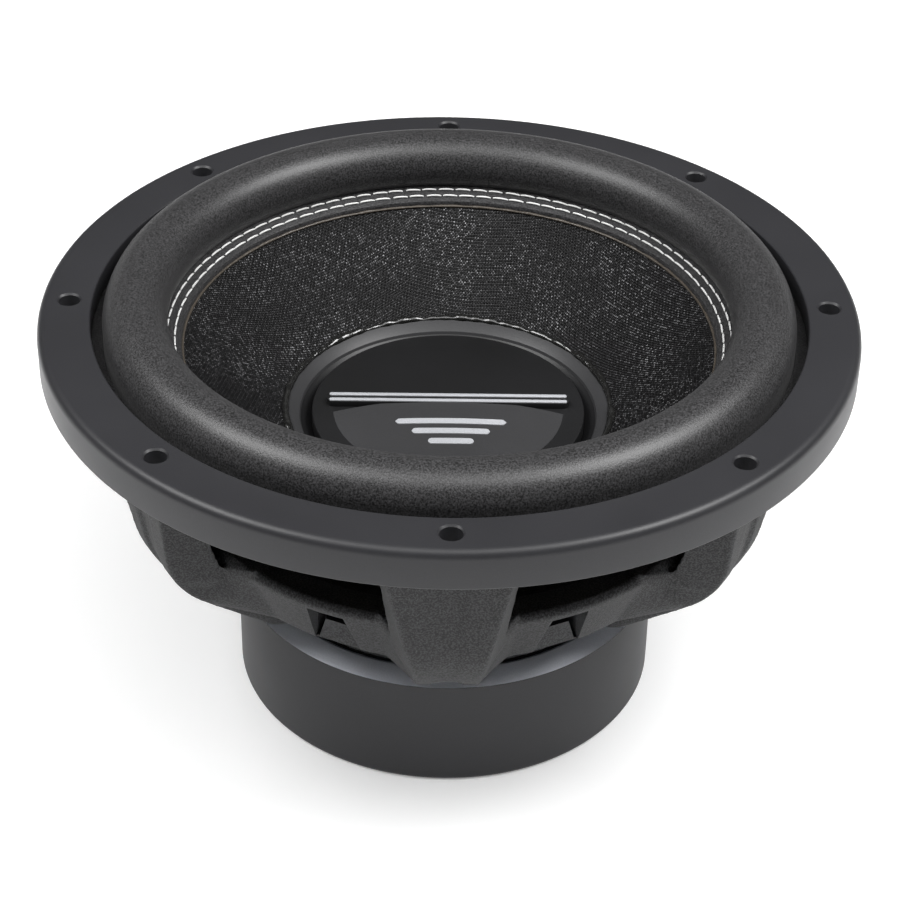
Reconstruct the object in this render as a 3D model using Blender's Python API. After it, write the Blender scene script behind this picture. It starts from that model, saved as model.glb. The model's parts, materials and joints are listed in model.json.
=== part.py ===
"""Car subwoofer, 12 inch class, dual voice coil. Metres, +Z up.

Origin: centre of the magnet boot's underside, which the driver stands on; the cone faces +Z.
Arm 0 of the basket points to -Y. Sub-assemblies: the basket and its gasket ring, the motor
inside its rubber boot, the moving assembly (cone, dust cap, coil), the suspension (surround
and two spiders) and two push-terminal blocks with their leads.
"""

import bmesh
import bpy
import math
from mathutils import Matrix, Vector

MM = 0.001

# Driving dimensions
GASKET_TOP = 171.5 * MM
GASKET_HEIGHT = 16.0 * MM
GASKET_RADIUS = 160.0 * MM
GASKET_INNER = 139.5 * MM
GASKET_ROUNDING = 3.7 * MM
BOLT_COUNT = 8
BOLT_CIRCLE = 148.5 * MM  # radius
BOLT_HOLE = 4.2 * MM  # radius

FLANGE_OUTER = 156.3 * MM
FLANGE_INNER = 130.0 * MM
FLANGE_THICK = 5.2 * MM
ARM_COUNT = 6
BASE_BOTTOM = 53.0 * MM
BASE_TOP = 57.0 * MM
BASE_OUTER = 78.0 * MM
BASE_BORE = 44.5 * MM
BAND_TOP = 103.0 * MM
BAND_BOTTOM = 74.0 * MM
LEDGE_TOP = 88.6 * MM  # the lower spider's seat, inside the band
WELL_RADIUS = 100.5 * MM  # inside the band, above the ledge

ROLL_CENTRE = (122.4 * MM, 169.7 * MM)  # radius and height
ROLL_RADIUS = 12.6 * MM
SURROUND_THICK = 1.8 * MM
CONE_EDGE = (105.0 * MM, 155.7 * MM)
CAP_EDGE = (64.4 * MM, 122.5 * MM)
CONE_THICK = 2.0 * MM  # measured along Z

FORMER_RADIUS = 38.1 * MM
FORMER_WALL = 0.6 * MM
FORMER_BOTTOM = 28.2 * MM
FORMER_TOP = 106.0 * MM
COIL_BOTTOM = 29.7 * MM
COIL_TOP = 65.7 * MM
WIRE_LAYER = 1.0 * MM

BOOT_RADIUS = 86.5 * MM
BOOT_WALL = 3.0 * MM
PLATE_THICK = 10.0 * MM
MAGNET_THICK = 14.4 * MM
MAGNET_RADIUS = 82.5 * MM
MAGNET_BORE = 53.0 * MM
POLE_RADIUS = 36.6 * MM
POLE_TOP = 57.0 * MM
VENT_RADIUS = 15.0 * MM

BUTTON_TRAVEL = 3.0 * MM
FIT = 0.3 * MM  # clearance between pieces that touch
STEPS = 40  # segments of a turned piece
CORE_STEPS = 24  # segments of a turned piece inside the driver
SMALL_STEPS = 12  # segments of a screw, a hole or a button


# Materials: base colour, roughness, metallic
FINISHES = {
    "powder_coat": ((0.035, 0.035, 0.037), 0.62, 0.3),
    "satin_plastic": ((0.033, 0.033, 0.035), 0.45, 0.0),
    "foam": ((0.030, 0.030, 0.030), 0.75, 0.0),
    "woven_fibre": ((0.016, 0.016, 0.016), 0.45, 0.0),
    "moulded_cap": ((0.024, 0.024, 0.025), 0.40, 0.0),
    "thread": ((0.72, 0.72, 0.72), 0.6, 0.0),
    "spider_cloth": ((0.02, 0.02, 0.02), 0.85, 0.0),
    "steel": ((0.42, 0.42, 0.42), 0.40, 1.0),
    "black_steel": ((0.05, 0.05, 0.05), 0.45, 0.8),
    "ferrite": ((0.06, 0.06, 0.06), 0.70, 0.2),
    "aluminium": ((0.78, 0.78, 0.78), 0.35, 1.0),
    "copper": ((0.72, 0.30, 0.16), 0.35, 1.0),
    "brass": ((0.70, 0.50, 0.20), 0.35, 1.0),
    "glue": ((0.08, 0.06, 0.04), 0.30, 0.0),
    "rubber": ((0.028, 0.028, 0.030), 0.50, 0.0),
    "red_plastic": ((0.45, 0.02, 0.02), 0.35, 0.0),
    "black_plastic": ((0.02, 0.02, 0.02), 0.40, 0.0),
}


def finish_of(name):
    material = bpy.data.materials.get(name)
    if material is None:
        colour, roughness, metallic = FINISHES[name]
        material = bpy.data.materials.new(name)
        material.use_nodes = True
        shader = material.node_tree.nodes["Principled BSDF"]
        shader.inputs["Base Color"].default_value = (*colour, 1.0)
        shader.inputs["Roughness"].default_value = roughness
        shader.inputs["Metallic"].default_value = metallic
    return material


def clear_scene():
    for obj in list(bpy.data.objects):
        bpy.data.objects.remove(obj, do_unlink=True)


def add_object(name, shape, finish, at=(0, 0, 0), parent=None):
    """Turns a bmesh into an object, its faces turned outwards and its round sides smooth."""
    bmesh.ops.recalc_face_normals(shape, faces=shape.faces)
    mesh = bpy.data.meshes.new(name)
    shape.to_mesh(mesh)
    shape.free()
    mesh.shade_smooth()
    mesh.set_sharp_from_angle(angle=math.radians(35))
    obj = bpy.data.objects.new(name, mesh)
    obj.location = at
    obj.parent = parent
    mesh.materials.append(finish_of(finish))
    bpy.context.scene.collection.objects.link(obj)
    return obj


def add_empty(name, at, turn=0.0):
    empty = bpy.data.objects.new(name, None)
    empty.location = at
    empty.rotation_euler.z = turn
    empty.empty_display_size = 0.01
    bpy.context.scene.collection.objects.link(empty)
    return empty


def turned(outline, steps=STEPS):
    """A solid of revolution about Z from a closed outline of (radius, height) points."""
    shape = bmesh.new()
    points = [shape.verts.new((radius, 0, height)) for radius, height in outline]
    touches_axis = min(radius for radius, _ in outline) < 1e-9
    edges = [shape.edges.new(pair) for pair in zip(points, points[1:])]
    if not touches_axis:
        edges.append(shape.edges.new((points[-1], points[0])))
    bmesh.ops.spin(
        shape, geom=points + edges, cent=(0, 0, 0), axis=(0, 0, 1),
        angle=math.tau, steps=steps, use_merge=True,
    )
    bmesh.ops.remove_doubles(shape, verts=shape.verts, dist=1e-6)
    return shape


def block(low, high):
    """A box between two corners."""
    shape = bmesh.new()
    bmesh.ops.create_cube(shape, size=1.0)
    low, high = Vector(low), Vector(high)
    size = high - low
    for vert in shape.verts:
        vert.co = (low + high) / 2 + Vector(vert.co[i] * size[i] for i in range(3))
    return shape


def rod(radius, low, high, places, steps=SMALL_STEPS):
    """Upright cylinders of one radius, one at each (x, y) of places."""
    shape = bmesh.new()
    for x, y in places:
        bmesh.ops.create_cone(
            shape, cap_ends=True, segments=steps, radius1=radius, radius2=radius,
            depth=high - low, matrix=Matrix.Translation((x, y, (low + high) / 2)),
        )
    return shape


def cut_with(obj, tool, operation="DIFFERENCE", solver="EXACT"):
    """Adds a Boolean modifier, and hides its tool."""
    tool.hide_render = True
    tool.display_type = "WIRE"
    boolean = obj.modifiers.new(tool.name, "BOOLEAN")
    boolean.operation = operation
    boolean.solver = solver
    boolean.object = tool


def around(radius, angle):
    return radius * math.cos(angle), radius * math.sin(angle)


def arc(centre, radius, start, end, steps):
    """Points on a circle in the (radius, height) plane, angles in degrees."""
    for step in range(steps + 1):
        angle = math.radians(start + (end - start) * step / steps)
        yield centre[0] + radius * math.cos(angle), centre[1] + radius * math.sin(angle)


def rounded_corner(before, corner, after, radius, steps):
    """The points of an arc that rounds one corner of an outline."""
    before, corner, after = Vector(before), Vector(corner), Vector(after)
    one, two = (before - corner).normalized(), (after - corner).normalized()
    half = one.angle(two) / 2
    centre = corner + (one + two).normalized() * (radius / math.sin(half))
    start = corner + one * (radius / math.tan(half)) - centre
    sweep = start.angle_signed(corner + two * (radius / math.tan(half)) - centre)
    for step in range(steps + 1):
        turn = Matrix.Rotation(-sweep * step / steps, 2)
        point = centre + turn @ start
        yield point.x, point.y


def bolt_places(radius, count, first=-math.pi / 2):
    return [around(radius, first + math.tau * i / count) for i in range(count)]


# Basket: flange, six tapered arms, spider-landing band and base
ARM_TOP = (140.5 * MM, 156.5 * MM)
ARM_KNEE = (129.5 * MM, 86.4 * MM)
ARM_KNEE_RADIUS = 45.0 * MM
ARM_FOOT = (88.5 * MM, 54.2 * MM)
ARM_HALF_WIDTHS = (12.2 * MM, 26.0 * MM)  # at and below the knee, and at the flange
ARM_DRAFTS = (8.6 * MM, 2.3 * MM)  # how much wider the inner side is, at the same heights
CHANNEL_HALF_WIDTH = 4.5 * MM
CHANNEL_DEPTH = 3.5 * MM
RECESS_OFFSET = math.radians(26.0)  # from the nearest arm of the three at -90, 30 and 150 degrees
SCREW_CIRCLE = 62.0 * MM
BAND_SCREW_RADIUS = 110.4 * MM
BLOCK_ANGLES = (math.radians(60), math.radians(120))


def arm_share(height):
    """0 at the knee and below, 1 at the flange."""
    return min(1, max(0, (height - ARM_KNEE[1]) / (ARM_TOP[1] - ARM_KNEE[1])))


def arm_half_width(height, inner):
    share = arm_share(height)
    width = ARM_HALF_WIDTHS[0] + share * (ARM_HALF_WIDTHS[1] - ARM_HALF_WIDTHS[0])
    draft = ARM_DRAFTS[0] + share * (ARM_DRAFTS[1] - ARM_DRAFTS[0])
    return width + inner * draft


def fin(shape, outline, half_widths, angle=0.0):
    """A closed outline in the (radius, height) plane, given thickness and turned about Z."""
    turn = Matrix.Rotation(angle, 3, "Z")
    sides = []
    for side in (-1, 1):
        sides.append([
            shape.verts.new(turn @ Vector((radius, side * half_width, height)))
            for (radius, height), half_width in zip(outline, half_widths)
        ])
    ends = [shape.faces.new(sides[0]), shape.faces.new(reversed(sides[1]))]
    for i in range(len(outline)):
        shape.faces.new((sides[0][i - 1], sides[0][i], sides[1][i], sides[1][i - 1]))
    bmesh.ops.triangulate(shape, faces=ends, ngon_method="EAR_CLIP")


def arm_angles():
    return [-math.pi / 2 + math.tau * i / ARM_COUNT for i in range(ARM_COUNT)]


def basket_arms():
    """Each arm is lofted through trapezoid sections, given by an outer and an inner point."""
    knee = rounded_corner(ARM_TOP, ARM_KNEE, ARM_FOOT, ARM_KNEE_RADIUS, 4)
    toe = (87.3 * MM, BASE_BOTTOM + FIT)
    outer = [ARM_TOP, *knee, ARM_FOOT, toe]
    inner = [
        (132.0 * MM, ARM_TOP[1]), (114.5 * MM, 104.0 * MM), (112.0 * MM, 97.0 * MM),
        (110.5 * MM, 90.0 * MM), (103.0 * MM, 84.5 * MM), (93.5 * MM, 77.0 * MM),
        (76.0 * MM, 59.0 * MM), (70.0 * MM, BASE_BOTTOM + FIT),
    ]
    shape = bmesh.new()
    for angle in arm_angles():
        turn = Matrix.Rotation(angle, 3, "Z")
        sections = []
        for points in zip(outer, inner):
            corners = []
            for is_inner, (radius, height) in enumerate(points):
                width = arm_half_width(height, is_inner)
                order = (width, -width) if is_inner else (-width, width)
                corners += [shape.verts.new(turn @ Vector((radius, y, height))) for y in order]
            sections.append(corners)
        shape.faces.new(sections[0])
        shape.faces.new(sections[-1])
        for above, below in zip(sections, sections[1:]):
            for i in range(4):
                shape.faces.new((above[i - 1], above[i], below[i], below[i - 1]))
    bmesh.ops.triangulate(shape, faces=shape.faces)
    return shape


def arm_channels():
    """The open channel along the underside of each arm, from the knee to the foot."""
    knee, foot = Vector((122.0 * MM, 80.5 * MM)), Vector(ARM_FOOT)
    along = (knee - foot).normalized()
    inward = Vector((-along.y, along.x)) * CHANNEL_DEPTH
    foot = foot - along * 4 * MM
    outline = [knee + inward, foot + inward, foot - inward, knee - inward]
    shape = bmesh.new()
    for angle in arm_angles():
        fin(shape, outline, [CHANNEL_HALF_WIDTH] * len(outline), angle)
    return shape


def band_recesses():
    """A tapered pocket in the band on each side of every second arm, open at the bottom."""
    rows = (  # height, half width, pocket floor radius
        (BAND_BOTTOM - 2 * MM, 9.8 * MM, 94.3 * MM),
        (94.3 * MM, 6.8 * MM, 105.0 * MM),
    )
    shape = bmesh.new()
    for arm in arm_angles()[::2]:
        for side in (-1, 1):
            turn = Matrix.Rotation(arm + side * RECESS_OFFSET, 3, "Z")
            corners = [
                shape.verts.new(turn @ Vector((radius, across * half_width, height)))
                for height, half_width, floor in rows
                for radius in (floor, floor + 20 * MM)
                for across in (-1, 1)
            ]
            for face in ((0, 1, 3, 2), (4, 6, 7, 5), (0, 2, 6, 4), (1, 5, 7, 3), (0, 4, 5, 1),
                         (2, 3, 7, 6)):
                shape.faces.new([corners[i] for i in face])
    return shape


def make_basket():
    top = GASKET_TOP - GASKET_HEIGHT + FLANGE_THICK
    bottom = top - FLANGE_THICK
    skirt = bottom - 8 * MM
    flange = turned([
        (FLANGE_OUTER, bottom), (FLANGE_OUTER, top), (FLANGE_INNER, top),
        (FLANGE_INNER, skirt), (FLANGE_INNER + 3.5 * MM, skirt), (FLANGE_INNER + 5.5 * MM, bottom),
    ])
    basket = add_object("basket", flange, "powder_coat")
    band = turned([
        (100.2 * MM, BAND_BOTTOM), (113.3 * MM, BAND_TOP - 0.6 * MM), (112.7 * MM, BAND_TOP),
        (WELL_RADIUS, BAND_TOP), (WELL_RADIUS, LEDGE_TOP), (92.0 * MM, LEDGE_TOP - 1 * MM),
        (92.0 * MM, BAND_BOTTOM),
    ])
    base = turned([
        (BASE_OUTER, BASE_BOTTOM), (BASE_OUTER, BASE_TOP), (BASE_BORE, BASE_TOP),
        (BASE_BORE, BASE_BOTTOM),
    ])
    for name, shape in (("arm_blank", basket_arms()), ("band_blank", band), ("base_blank", base)):
        cut_with(basket, add_object(name, shape, "powder_coat"), "UNION", "MANIFOLD")
    flange_holes = rod(BOLT_HOLE, 140 * MM, 170 * MM, bolt_places(BOLT_CIRCLE, BOLT_COUNT))
    base_holes = rod(2.7 * MM, 50 * MM, 60 * MM, screw_places())
    band_places = [around(BAND_SCREW_RADIUS, angle) for angle in BLOCK_ANGLES]
    band_holes = rod(1.8 * MM, 92 * MM, 110 * MM, band_places)
    tools = {
        "channel_tool": arm_channels(), "recess_tool": band_recesses(),
        "flange_hole_tool": flange_holes, "base_hole_tool": base_holes,
        "band_hole_tool": band_holes,
    }
    for name, shape in tools.items():
        cut_with(basket, add_object(name, shape, "powder_coat"), solver="MANIFOLD")


def screw_places():
    return bolt_places(SCREW_CIRCLE, ARM_COUNT, first=-math.pi / 2 + math.pi / ARM_COUNT)


def make_gasket_ring():
    bottom = GASKET_TOP - GASKET_HEIGHT
    seat = bottom + 7.3 * MM
    rim = (GASKET_RADIUS - GASKET_ROUNDING, GASKET_TOP - GASKET_ROUNDING)
    outline = [
        (GASKET_RADIUS, bottom), *arc(rim, GASKET_ROUNDING, 0, 90, 3),
        (GASKET_INNER + 0.8 * MM, GASKET_TOP), (GASKET_INNER, GASKET_TOP - 0.8 * MM),
        (GASKET_INNER, seat), (FLANGE_OUTER + FIT, seat), (FLANGE_OUTER + FIT, bottom),
    ]
    ring = add_object("gasket_ring", turned(outline), "satin_plastic")
    holes = rod(BOLT_HOLE, 150 * MM, 180 * MM, bolt_places(BOLT_CIRCLE, BOLT_COUNT))
    cut_with(ring, add_object("gasket_hole_tool", holes, "satin_plastic"))


def make_surround():
    inner_radius = ROLL_RADIUS - SURROUND_THICK
    outer_leg = ROLL_CENTRE[0] + ROLL_RADIUS
    lip_top, lip_bottom = 162.5 * MM, 161.0 * MM
    lip_end = 143.0 * MM
    landing = (105.0 * MM, 157.9 * MM)
    outline = [
        (lip_end, lip_top), (outer_leg, lip_top), *arc(ROLL_CENTRE, ROLL_RADIUS, 0, 222, 8),
        landing, (landing[0], landing[1] - 1.7 * MM), (113.0 * MM, 159.55 * MM),
        *arc(ROLL_CENTRE, inner_radius, 222, 0, 8), (outer_leg - SURROUND_THICK, lip_bottom),
        (lip_end, lip_bottom),
    ]
    add_object("surround", turned(outline), "foam")


def make_stitch_rings():
    """Two rows of thread through the surround's landing."""
    rows = {
        "stitch_ring_outer": (110.8 * MM, 161.15 * MM),
        "stitch_ring_inner": (107.65 * MM, 159.8 * MM),
    }
    for name, centre in rows.items():
        outline = list(arc(centre, 0.4 * MM, 0, 360, 4))[:-1]
        add_object(name, turned(outline), "thread")


def cone_top(radius):
    """Height of the cone's upper face."""
    slope = (CONE_EDGE[1] - CAP_EDGE[1]) / (CONE_EDGE[0] - CAP_EDGE[0])
    return CAP_EDGE[1] + slope * (radius - CAP_EDGE[0])


def make_cone():
    neck = FORMER_RADIUS + FIT
    lip = (111.5 * MM, CONE_EDGE[1] + 2.8 * MM)
    face = [lip, CONE_EDGE, (neck, cone_top(neck))]
    back = [(radius, height - CONE_THICK) for radius, height in reversed(face)]
    add_object("cone", turned(face + back), "woven_fibre")


def make_dust_cap():
    carrier = [
        (64.3 * MM, 124.2 * MM), (59.7 * MM, 121.0 * MM), (59.2 * MM, 119.9 * MM),
        (50.0 * MM, 112.4 * MM), (50.0 * MM, cone_top(50.0 * MM) + 0.4 * MM),
        (64.8 * MM, cone_top(64.8 * MM) + 0.4 * MM),
    ]
    add_object("dust_cap_ring", turned(carrier), "moulded_cap")
    disc = [
        (0, 119.5 * MM), (52.0 * MM, 119.5 * MM), (52.0 * MM, 116.8 * MM), (54.7 * MM, 116.8 * MM),
        (54.7 * MM, 121.7 * MM), (54.1 * MM, 122.4 * MM), (30.0 * MM, 123.9 * MM), (0, 124.4 * MM),
    ]
    add_object("dust_cap", turned(disc), "moulded_cap")


def tube_outline(inner, outer, low, high):
    return [(inner, low), (outer, low), (outer, high), (inner, high)]


def make_voice_coil():
    former = tube_outline(FORMER_RADIUS - FORMER_WALL, FORMER_RADIUS, FORMER_BOTTOM, FORMER_TOP)
    add_object("voice_coil_former", turned(former, CORE_STEPS), "aluminium")
    inner = FORMER_RADIUS + FIT
    for name in ("coil_winding_inner", "coil_winding_outer"):
        outline = tube_outline(inner, inner + WIRE_LAYER, COIL_BOTTOM, COIL_TOP)
        add_object(name, turned(outline, CORE_STEPS), "copper")
        inner += WIRE_LAYER + FIT
    neck = FORMER_RADIUS + FIT
    under = CONE_THICK + FIT
    joint = [
        (neck, 97.2 * MM), (42.2 * MM, 97.2 * MM), (44.6 * MM, 100.6 * MM),
        (44.6 * MM, cone_top(44.6 * MM) - under), (neck, cone_top(neck) - under),
    ]
    add_object("neck_joint", turned(joint, CORE_STEPS), "glue")


SPIDER_WAVES = 5
SPIDER_HEIGHT = 2.0 * MM
SPIDER_THICK = 0.7 * MM
SPIDER_RIM = WELL_RADIUS - 0.5 * MM


def spider_outline(level):
    """Flat at the former and at the rim, zigzag corrugations between."""
    inner, first, last = FORMER_RADIUS + FIT, 45.0 * MM, 88.0 * MM
    top = [(inner, level)]
    for i in range(2 * SPIDER_WAVES + 1):
        wave = SPIDER_HEIGHT * (0, 1, 0, -1)[i % 4] if i < 2 * SPIDER_WAVES else 0
        top.append((first + (last - first) * i / (2 * SPIDER_WAVES), level + wave))
    top.append((SPIDER_RIM, level))
    return top + [(radius, height - SPIDER_THICK) for radius, height in reversed(top)]


def make_spiders():
    lower = LEDGE_TOP + FIT + SPIDER_THICK
    spacer = tube_outline(90.5 * MM, SPIDER_RIM, lower + FIT, lower + FIT + 5.2 * MM)
    upper = spacer[2][1] + FIT + SPIDER_THICK
    add_object("spider_lower", turned(spider_outline(lower), CORE_STEPS), "spider_cloth")
    add_object("spider_upper", turned(spider_outline(upper), CORE_STEPS), "spider_cloth")
    add_object("spider_spacer", turned(spacer, CORE_STEPS), "black_plastic")


def make_motor():
    back = BOOT_WALL + FIT
    back_top = back + 9.7 * MM
    yoke = [
        (22.0 * MM, back), (80.0 * MM, back), (80.0 * MM, back_top), (POLE_RADIUS, back_top),
        (POLE_RADIUS, POLE_TOP), (VENT_RADIUS, POLE_TOP), (VENT_RADIUS, back + 7 * MM),
    ]
    add_object("yoke", turned(yoke, CORE_STEPS), "steel")
    lower = back_top + FIT
    shorting = tube_outline(43.5 * MM, 51.5 * MM, lower, lower + 9 * MM)
    add_object("shorting_ring", turned(shorting, CORE_STEPS), "aluminium")
    for name in ("magnet_lower", "magnet_upper"):
        outline = tube_outline(MAGNET_BORE, MAGNET_RADIUS, lower, lower + MAGNET_THICK)
        add_object(name, turned(outline, CORE_STEPS), "ferrite")
        lower += MAGNET_THICK + FIT
    outline = tube_outline(42.0 * MM, 77.6 * MM, lower, lower + PLATE_THICK)
    plate = add_object("top_plate", turned(outline, CORE_STEPS), "black_steel")
    holes = rod(2.7 * MM, lower - 5 * MM, lower + 20 * MM, screw_places())
    cut_with(plate, add_object("plate_hole_tool", holes, "steel"))


def make_boot():
    inner, lip = MAGNET_RADIUS + 0.4 * MM, 78.0 * MM
    shoulder = (lip + 0.6 * MM, 52.6 * MM)
    outline = [
        (30.0 * MM, 0), *arc((84.2 * MM, 2.3 * MM), 2.3 * MM, -90, 0, 2), (BOOT_RADIUS, 50.0 * MM),
        (85.8 * MM, 50.8 * MM), shoulder, (lip, 52.2 * MM), (lip, 42.8 * MM),
        (inner, 42.8 * MM), (inner, BOOT_WALL), (30.0 * MM, BOOT_WALL),
    ]
    add_object("magnet_boot", turned(outline), "rubber")


def make_vent_screen():
    low, high = 2.0 * MM, 3.0 * MM
    rim = turned(tube_outline(17 * MM, 23 * MM, low, high), CORE_STEPS)
    screen = add_object("vent_screen", rim, "black_steel")
    hub = turned(tube_outline(0, 3 * MM, low, high), SMALL_STEPS)
    cut_with(screen, add_object("screen_hub", hub, "black_steel"), "UNION")
    reach = 20 * MM
    for i in range(3):
        bar = bmesh.new()
        outline = [(-reach, low), (reach, low), (reach, high), (-reach, high)]
        fin(bar, outline, [0.9 * MM] * 4, math.pi * i / 3)
        cut_with(screen, add_object(f"screen_bar_{i}", bar, "black_steel"), "UNION")


def screw_outline(shank, head, tip, seat, head_height):
    return [
        (0, tip), (shank, tip), (shank, seat), (head, seat), (head, seat + 0.7 * head_height),
        (0.7 * head, seat + head_height), (0, seat + head_height),
    ]


def make_basket_screws():
    outline = screw_outline(2.4 * MM, 4.4 * MM, 44.0 * MM, BASE_TOP + FIT, 3.2 * MM)
    for number, (x, y) in enumerate(screw_places(), 1):
        add_object(f"basket_screw_{number}", turned(outline, SMALL_STEPS), "steel", at=(x, y, 0))


# Push terminals. In a block's own frame +X points outwards and Y runs along the band.
BLOCK_LOW = BAND_TOP + FIT
BLOCK_HIGH = BLOCK_LOW + 16.0 * MM
BLOCK_INNER = 104.0 * MM
BLOCK_OUTER = 118.0 * MM
BLOCK_HALF_WIDTH = 17.0 * MM
POST_RADIUS = 112.5 * MM
POST_OFFSET = 8.5 * MM
POST_BORE = 3.2 * MM
BORE_FLOOR = BLOCK_LOW + 3.0 * MM
WIRE_HOLE_HEIGHT = 110.5 * MM


def make_block(number, centre):
    block_shape = block(
        (BLOCK_INNER, -BLOCK_HALF_WIDTH, BLOCK_LOW), (BLOCK_OUTER, BLOCK_HALF_WIDTH, BLOCK_HIGH)
    )
    edges = [edge for edge in block_shape.edges if edge.verts[0].co.z != edge.verts[1].co.z]
    bmesh.ops.bevel(block_shape, geom=edges, offset=2 * MM, segments=2, affect="EDGES", profile=0.5)
    obj = add_object(f"terminal_block_{number}", block_shape, "black_plastic", parent=centre)
    posts = [(POST_RADIUS, side * POST_OFFSET) for side in (-1, 1)]
    bores = rod(POST_BORE, BORE_FLOOR, BLOCK_HIGH + 5 * MM, posts)
    cut_with(obj, add_object(f"bore_tool_{number}", bores, "steel", parent=centre))
    lying = [(-WIRE_HOLE_HEIGHT, y) for _, y in posts]
    wires = rod(1.8 * MM, POST_RADIUS, BLOCK_OUTER + 5 * MM, lying)
    turn = Matrix.Rotation(math.pi / 2, 3, "Y")
    bmesh.ops.rotate(wires, verts=wires.verts, cent=(0, 0, 0), matrix=turn)
    cut_with(obj, add_object(f"wire_tool_{number}", wires, "steel", parent=centre))
    screw_hole = rod(1.8 * MM, BLOCK_LOW - 5 * MM, BLOCK_HIGH + 5 * MM, [(BAND_SCREW_RADIUS, 0)])
    cut_with(obj, add_object(f"block_hole_tool_{number}", screw_hole, "steel", parent=centre))
    outline = screw_outline(1.5 * MM, 3.2 * MM, 93.0 * MM, BLOCK_HIGH + FIT, 2.0 * MM)
    add_object(
        f"terminal_screw_{number}", turned(outline, SMALL_STEPS), "steel",
        at=(BAND_SCREW_RADIUS, 0, 0), parent=centre,
    )


def make_button(number, centre, side):
    stem_low = BORE_FLOOR + 8.4 * MM
    cap_low = BLOCK_HIGH + BUTTON_TRAVEL + FIT
    outline = [
        (0, stem_low), (2.9 * MM, stem_low), (2.9 * MM, cap_low), (4.4 * MM, cap_low),
        (4.4 * MM, cap_low + 3.4 * MM), (3.4 * MM, cap_low + 4.4 * MM), (0, cap_low + 4.4 * MM),
    ]
    finish = "red_plastic" if side > 0 else "black_plastic"
    place = (POST_RADIUS, side * POST_OFFSET, 0)
    add_object(f"push_button_{number}", turned(outline, SMALL_STEPS), finish, at=place, parent=centre)


def add_wire(name, points, radius, sides, finish, parent):
    """A round wire through the points, its ends capped."""
    curve = bpy.data.curves.new(name, "CURVE")
    curve.dimensions = "3D"
    curve.bevel_depth = radius
    curve.bevel_resolution = sides
    curve.use_fill_caps = True
    line = curve.splines.new("POLY")
    line.points.add(len(points) - 1)
    for point, place in zip(line.points, points):
        point.co = (*place, 1)
    curve.materials.append(finish_of(finish))
    obj = bpy.data.objects.new(name, curve)
    obj.parent = parent
    bpy.context.scene.collection.objects.link(obj)


def make_button_spring(number, centre, side):
    turns, per_turn, radius, wire = 3.5, 8, 2.2 * MM, 0.35 * MM
    low, high = BORE_FLOOR + wire + FIT, BORE_FLOOR + 8.4 * MM - wire - FIT
    count = int(turns * per_turn)
    points = []
    for i in range(count + 1):
        x, y = around(radius, math.tau * i / per_turn)
        points.append((POST_RADIUS + x, side * POST_OFFSET + y, low + (high - low) * i / count))
    add_wire(f"button_spring_{number}", points, wire, 0, "steel", centre)


LUG_HALF_WIDTH = 2.5 * MM
LUG_THICK = 0.8 * MM
LUG_TAB = 107.0 * MM  # height of the tab's upper face
LUG_END = 96.5 * MM


def make_lug(number, centre, side):
    """An angle strip on the block's inner face, its tab pointing to the coil."""
    back = BLOCK_INNER - FIT
    front = back - LUG_THICK
    outline = [
        (back, LUG_TAB - LUG_THICK), (back, 114 * MM), (front, 114 * MM), (front, LUG_TAB),
        (LUG_END, LUG_TAB), (LUG_END, LUG_TAB - LUG_THICK),
    ]
    shape = bmesh.new()
    fin(shape, outline, [LUG_HALF_WIDTH] * len(outline))
    bmesh.ops.translate(shape, verts=shape.verts, vec=(0, side * POST_OFFSET, 0))
    add_object(f"solder_lug_{number}", shape, "brass", parent=centre)


def smooth_path(points, per_span):
    """A Catmull-Rom curve through the points."""
    points = [Vector(point) for point in points]
    points = [2 * points[0] - points[1], *points, 2 * points[-1] - points[-2]]
    path = []
    for a, b, c, d in zip(points, points[1:], points[2:], points[3:]):
        for step in range(per_span):
            t = step / per_span
            path.append(0.5 * (
                2 * b + (c - a) * t + (2 * a - 5 * b + 4 * c - d) * t**2
                + (3 * b - a - 3 * c + d) * t**3
            ))
    return path + [points[-2]]


LEAD_RADIUS = 0.7 * MM


def make_lead(number, centre, side):
    """A braided lead from the lug's tab to the neck, with slack for the cone's travel."""
    start = POST_OFFSET * side
    finish_at = 6.0 * MM * side
    route = [
        (LUG_END + 1.5 * MM, start, LUG_TAB + LEAD_RADIUS + FIT),
        (90.0 * MM, start, 111.5 * MM),
        (79.0 * MM, start * 0.95 + finish_at * 0.05, 115.0 * MM),
        (67.0 * MM, start * 0.7 + finish_at * 0.3, 111.5 * MM),
        (55.0 * MM, start * 0.3 + finish_at * 0.7, 103.5 * MM),
        (46.2 * MM, finish_at, 100.8 * MM),
    ]
    add_wire(f"tinsel_lead_{number}", smooth_path(route, 3), LEAD_RADIUS, 1, "copper", centre)


def make_terminals():
    number = 0
    for block_number, angle in enumerate(BLOCK_ANGLES, 1):
        centre = add_empty(f"terminal_centre_{block_number}", (0, 0, 0), angle)
        make_block(block_number, centre)
        for side in (-1, 1):
            number += 1
            make_button(number, centre, side)
            make_button_spring(number, centre, side)
            make_lug(number, centre, side)
            make_lead(number, centre, side)


def main():
    clear_scene()
    make_basket()
    make_gasket_ring()
    make_surround()
    make_stitch_rings()
    make_cone()
    make_dust_cap()
    make_voice_coil()
    make_spiders()
    make_motor()
    make_boot()
    make_vent_screen()
    make_basket_screws()
    make_terminals()


main()
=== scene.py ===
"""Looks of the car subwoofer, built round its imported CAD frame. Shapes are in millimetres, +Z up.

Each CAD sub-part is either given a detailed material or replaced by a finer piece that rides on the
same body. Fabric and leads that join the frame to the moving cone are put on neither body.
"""

import json
import math
import random

import bmesh
import bpy
import numpy as np
from mathutils import Matrix, Vector

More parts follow.
